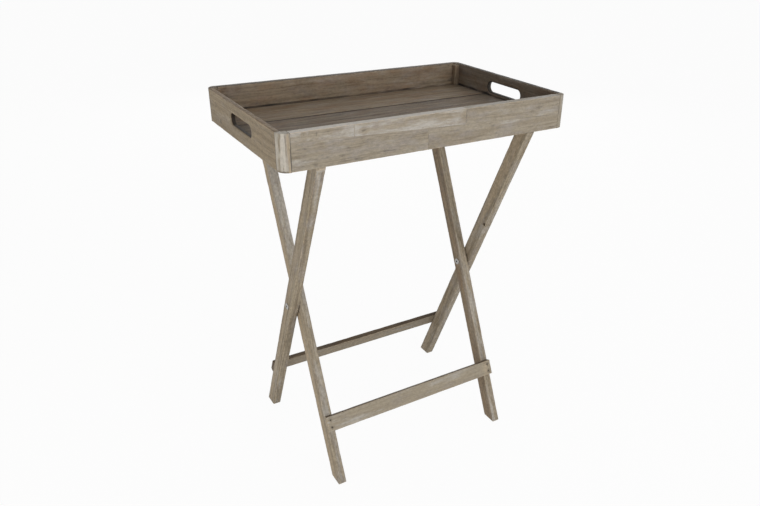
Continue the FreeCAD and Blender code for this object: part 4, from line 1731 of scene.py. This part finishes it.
@dataclass
class Fasteners:
    """Bolts, nuts, washers, screws and nails, which keep their own shapes."""

    nails: tuple[str, ...] = ("front_stretcher_nails", "rear_stretcher_nails")
    screws: tuple[str, ...] = ("floor_screws", "rear_top_rail_screws", "front_top_rail_screws")
    pivots: tuple[str, ...] = ("bolt", "nut", "washer")

    def dress(self) -> None:
        """Gives each fastener its metal."""
        axis = pivot_point()
        bolt = BOLT_STEEL.material(axis)
        screw = SCREW_STEEL.material(axis)
        nail = NAIL_IRON.material()
        for side in Side:
            for kind in self.pivots:
                self._coat(f"{side.word}_pivot_{kind}", bolt, BOLT_STEEL.slot)
        for node in self.screws:
            self._coat(node, screw, SCREW_STEEL.slot)
        for node in self.nails:
            self._coat(node, nail, NAIL_IRON.slot)

    @staticmethod
    def _coat(node: str, material: bpy.types.Material, slot: str) -> None:
        """Puts a material on a node.

        Args:
            node: Name of the node.
            material: Its material.
            slot: Material slot of the record; not used.
        """
        piece = frame["nodes"][node]
        piece.data.materials.clear()
        piece.data.materials.append(material)
        log.info("%s: %s", node, material.name)


# Studio


@dataclass(frozen=True)
class Softbox:
    """Large soft lamp."""

    name: str
    place: tuple[float, float, float]
    target: tuple[float, float, float]
    width: float
    height: float
    watts: float
    colour: Rgb = (1.0, 1.0, 1.0)

    def build(self) -> None:
        """Hangs the lamp."""
        lamp = bpy.data.lights.new(self.name, "AREA")
        lamp.shape = "RECTANGLE"
        lamp.size = self.width
        lamp.size_y = self.height
        lamp.energy = self.watts
        lamp.color = self.colour
        hung = in_scene(self.name, lamp)
        hung.location = self.place
        aim = Vector(self.target) - Vector(self.place)
        hung.rotation_euler = aim.to_track_quat("-Z", "Y").to_euler()
        log.info("%s: %.0f W", self.name, self.watts)


@dataclass
class Studio:
    """Pale floor, soft light, white surround and the camera."""

    floor_reach: float = 30.0
    floor_colour: Rgb = (0.86, 0.86, 0.86)
    floor_glow: float = 0.95
    zenith: float = 0.32
    horizon: float = 0.55
    focal_length: float = 32.665
    sensor_width: float = 36.0
    camera_place: tuple[float, float, float] = (-0.67451, -1.18401, 1.08033)
    yaw: float = -31.61
    pitch: float = -26.89
    roll: float = -1.08
    shift_x: float = -0.0347
    shift_y: float = 0.0172
    clip_start: float = 0.05
    lamps: tuple[Softbox, ...] = (
        Softbox("front_softbox", (0.7, -3.0, 1.35), (0.0, 0.0, 0.6), 2.4, 1.6, 46.0),
        Softbox("left_softbox", (-1.8, -0.4, 0.3), (0.0, 0.0, 0.4), 1.5, 0.5, 7.6, (1.0, 0.95, 0.87)),
        Softbox("back_softbox", (1.6, 2.8, 1.2), (0.0, 0.0, 0.45), 2.2, 1.6, 22.0),
    )

    def build(self) -> None:
        """Makes the whole studio."""
        bpy.context.scene.view_settings.view_transform = "Standard"
        self._floor()
        self._surround()
        for lamp in self.lamps:
            lamp.build()
        self._camera()

    def _floor(self) -> None:
        """Lays the pale floor, which keeps the shadow."""
        made = bmesh.new()
        bmesh.ops.create_grid(made, x_segments=1, y_segments=1, size=self.floor_reach)
        floor = as_object(made, "studio_floor")
        paint, web = new_material("studio_floor")
        matt = web.node("ShaderNodeBsdfDiffuse")
        matt.inputs["Color"].default_value = (*self.floor_colour, 1.0)
        glow = web.node("ShaderNodeEmission")
        share = web.math("MULTIPLY", self._seen(web), self.floor_glow)
        web.surface(web.blend(share, matt.outputs[0], glow.outputs[0]))
        floor.data.materials.append(paint)

    @staticmethod
    def _seen(web: ShaderWeb) -> Socket:
        """Finds the rays that show the surround, straight or in metal and glass.

        Args:
            web: Shader that is being built.

        Returns:
            1 for such a ray, and 0 for others.
        """
        path = web.node("ShaderNodeLightPath")
        mirrored = web.math("MAXIMUM", path.outputs["Is Glossy Ray"], path.outputs["Is Transmission Ray"])
        return web.math("MAXIMUM", path.outputs["Is Camera Ray"], mirrored)

    def _surround(self) -> None:
        """Makes the white surround, whose light is softer from above."""
        world = bpy.data.worlds.new("studio_surround")
        bpy.context.scene.world = world
        world.use_nodes = True
        web = ShaderWeb(world.node_tree)
        height = web.split(web.node("ShaderNodeTexCoord").outputs["Generated"])[2]
        level = web.node("ShaderNodeMapRange")
        level.inputs["To Min"].default_value = self.horizon
        level.inputs["To Max"].default_value = self.zenith
        web.feed(level.inputs["Value"], height)
        light, white = [web.node("ShaderNodeBackground") for _ in range(2)]
        for backdrop in (light, white):
            backdrop.inputs["Color"].default_value = (1.0, 1.0, 1.0, 1.0)
        web.feed(light.inputs["Strength"], level.outputs["Result"])
        web.surface(web.blend(self._seen(web), light.outputs[0], white.outputs[0]), "ShaderNodeOutputWorld")

    def _camera(self) -> None:
        """Sets the camera at the photograph's angle."""
        lens = bpy.data.cameras.new("camera")
        lens.sensor_fit = "HORIZONTAL"
        lens.sensor_width = self.sensor_width
        lens.lens = self.focal_length
        lens.shift_x = self.shift_x
        lens.shift_y = self.shift_y
        lens.clip_start = self.clip_start
        camera = in_scene("camera", lens)
        yaw, pitch, roll = (math.radians(angle) for angle in (self.yaw, self.pitch, self.roll))
        ahead = Vector((-math.sin(yaw) * math.cos(pitch), math.cos(yaw) * math.cos(pitch), math.sin(pitch)))
        right = ahead.cross(AXIS_Z).normalized()
        down = ahead.cross(right)
        level_right = right * math.cos(roll) + down * math.sin(roll)
        level_down = down * math.cos(roll) - right * math.sin(roll)
        turn = Matrix((level_right, -level_down, -ahead)).transposed().to_4x4()
        camera.matrix_world = Matrix.Translation(self.camera_place) @ turn
        bpy.context.scene.camera = camera


def inner_frame() -> StandFrame:
    """Describes the front-footed frame, with wear and painted light on its left leg and wear on its
    stretcher.

    Returns:
        The frame, ready to build.
    """
    bare_ends = (Mark(199 * MM, 0.0, 15 * MM, 30 * MM, -0.5, 0.6),
                 Mark(-212 * MM, 0.0, 5 * MM, 30 * MM, 0.0, 0.6))
    tan_leg = Mark(0.0, 4.0 * MM, EVERYWHERE, 10.0 * MM, -0.2, 0.6)
    # Painted light high on the front of the left leg, where the tray shades it.
    painted_lit_front = Mark(240 * MM, -16.5 * MM, 190 * MM, 3.0 * MM, 1.2)
    return StandFrame("inner_frame", Lean.BACK, "inner_leg", "front_stretcher", "rear_top_rail",
                      pivot_hole=8.1 * MM, inner_face_shade=0.6, leg_marks={Side.LEFT: (tan_leg, painted_lit_front)},
                      stretcher_marks=bare_ends, stretcher_tone=0.01)


def outer_frame() -> StandFrame:
    """Describes the back-footed frame: one leg top rubbed, a painted highlight on the other, and an empty
    hole.

    Returns:
        The frame, ready to build.
    """
    bare_top = Mark(330 * MM, 0.0, 110 * MM, 12 * MM, 0.0, 0.9)
    # A painted highlight where the top of the left leg catches the light.
    highlit_top = Mark(393 * MM, -15.75 * MM, 4.0 * MM, 5 * MM, 1.2, 0.8)
    dark_front = Mark(150 * MM, -14.0 * MM, 220 * MM, 6.0 * MM, -0.35)
    warm_face = Mark(0.0, 0.0, EVERYWHERE, EVERYWHERE, 0.0, 0.45)
    return StandFrame("outer_frame", Lean.FRONT, "outer_leg", "rear_stretcher", "front_top_rail",
                      pivot_hole=6.1 * MM,
                      leg_marks={Side.RIGHT: (bare_top,), Side.LEFT: (highlit_top, dark_front)},
                      stretcher_marks=(warm_face,), stretcher_tone=-0.23, end_shade=1.8,
                      empty_holes={Side.RIGHT: (132.3 * MM, -11.0 * MM)})


def main() -> None:
    """Builds the table and its studio."""
    logging.basicConfig(level=logging.INFO, format="%(name)s %(message)s")
    Studio().build()
    Tray().build()
    inner_frame().build()
    outer_frame().build()
    Fasteners().dress()


if __name__ == "__main__":
    main()
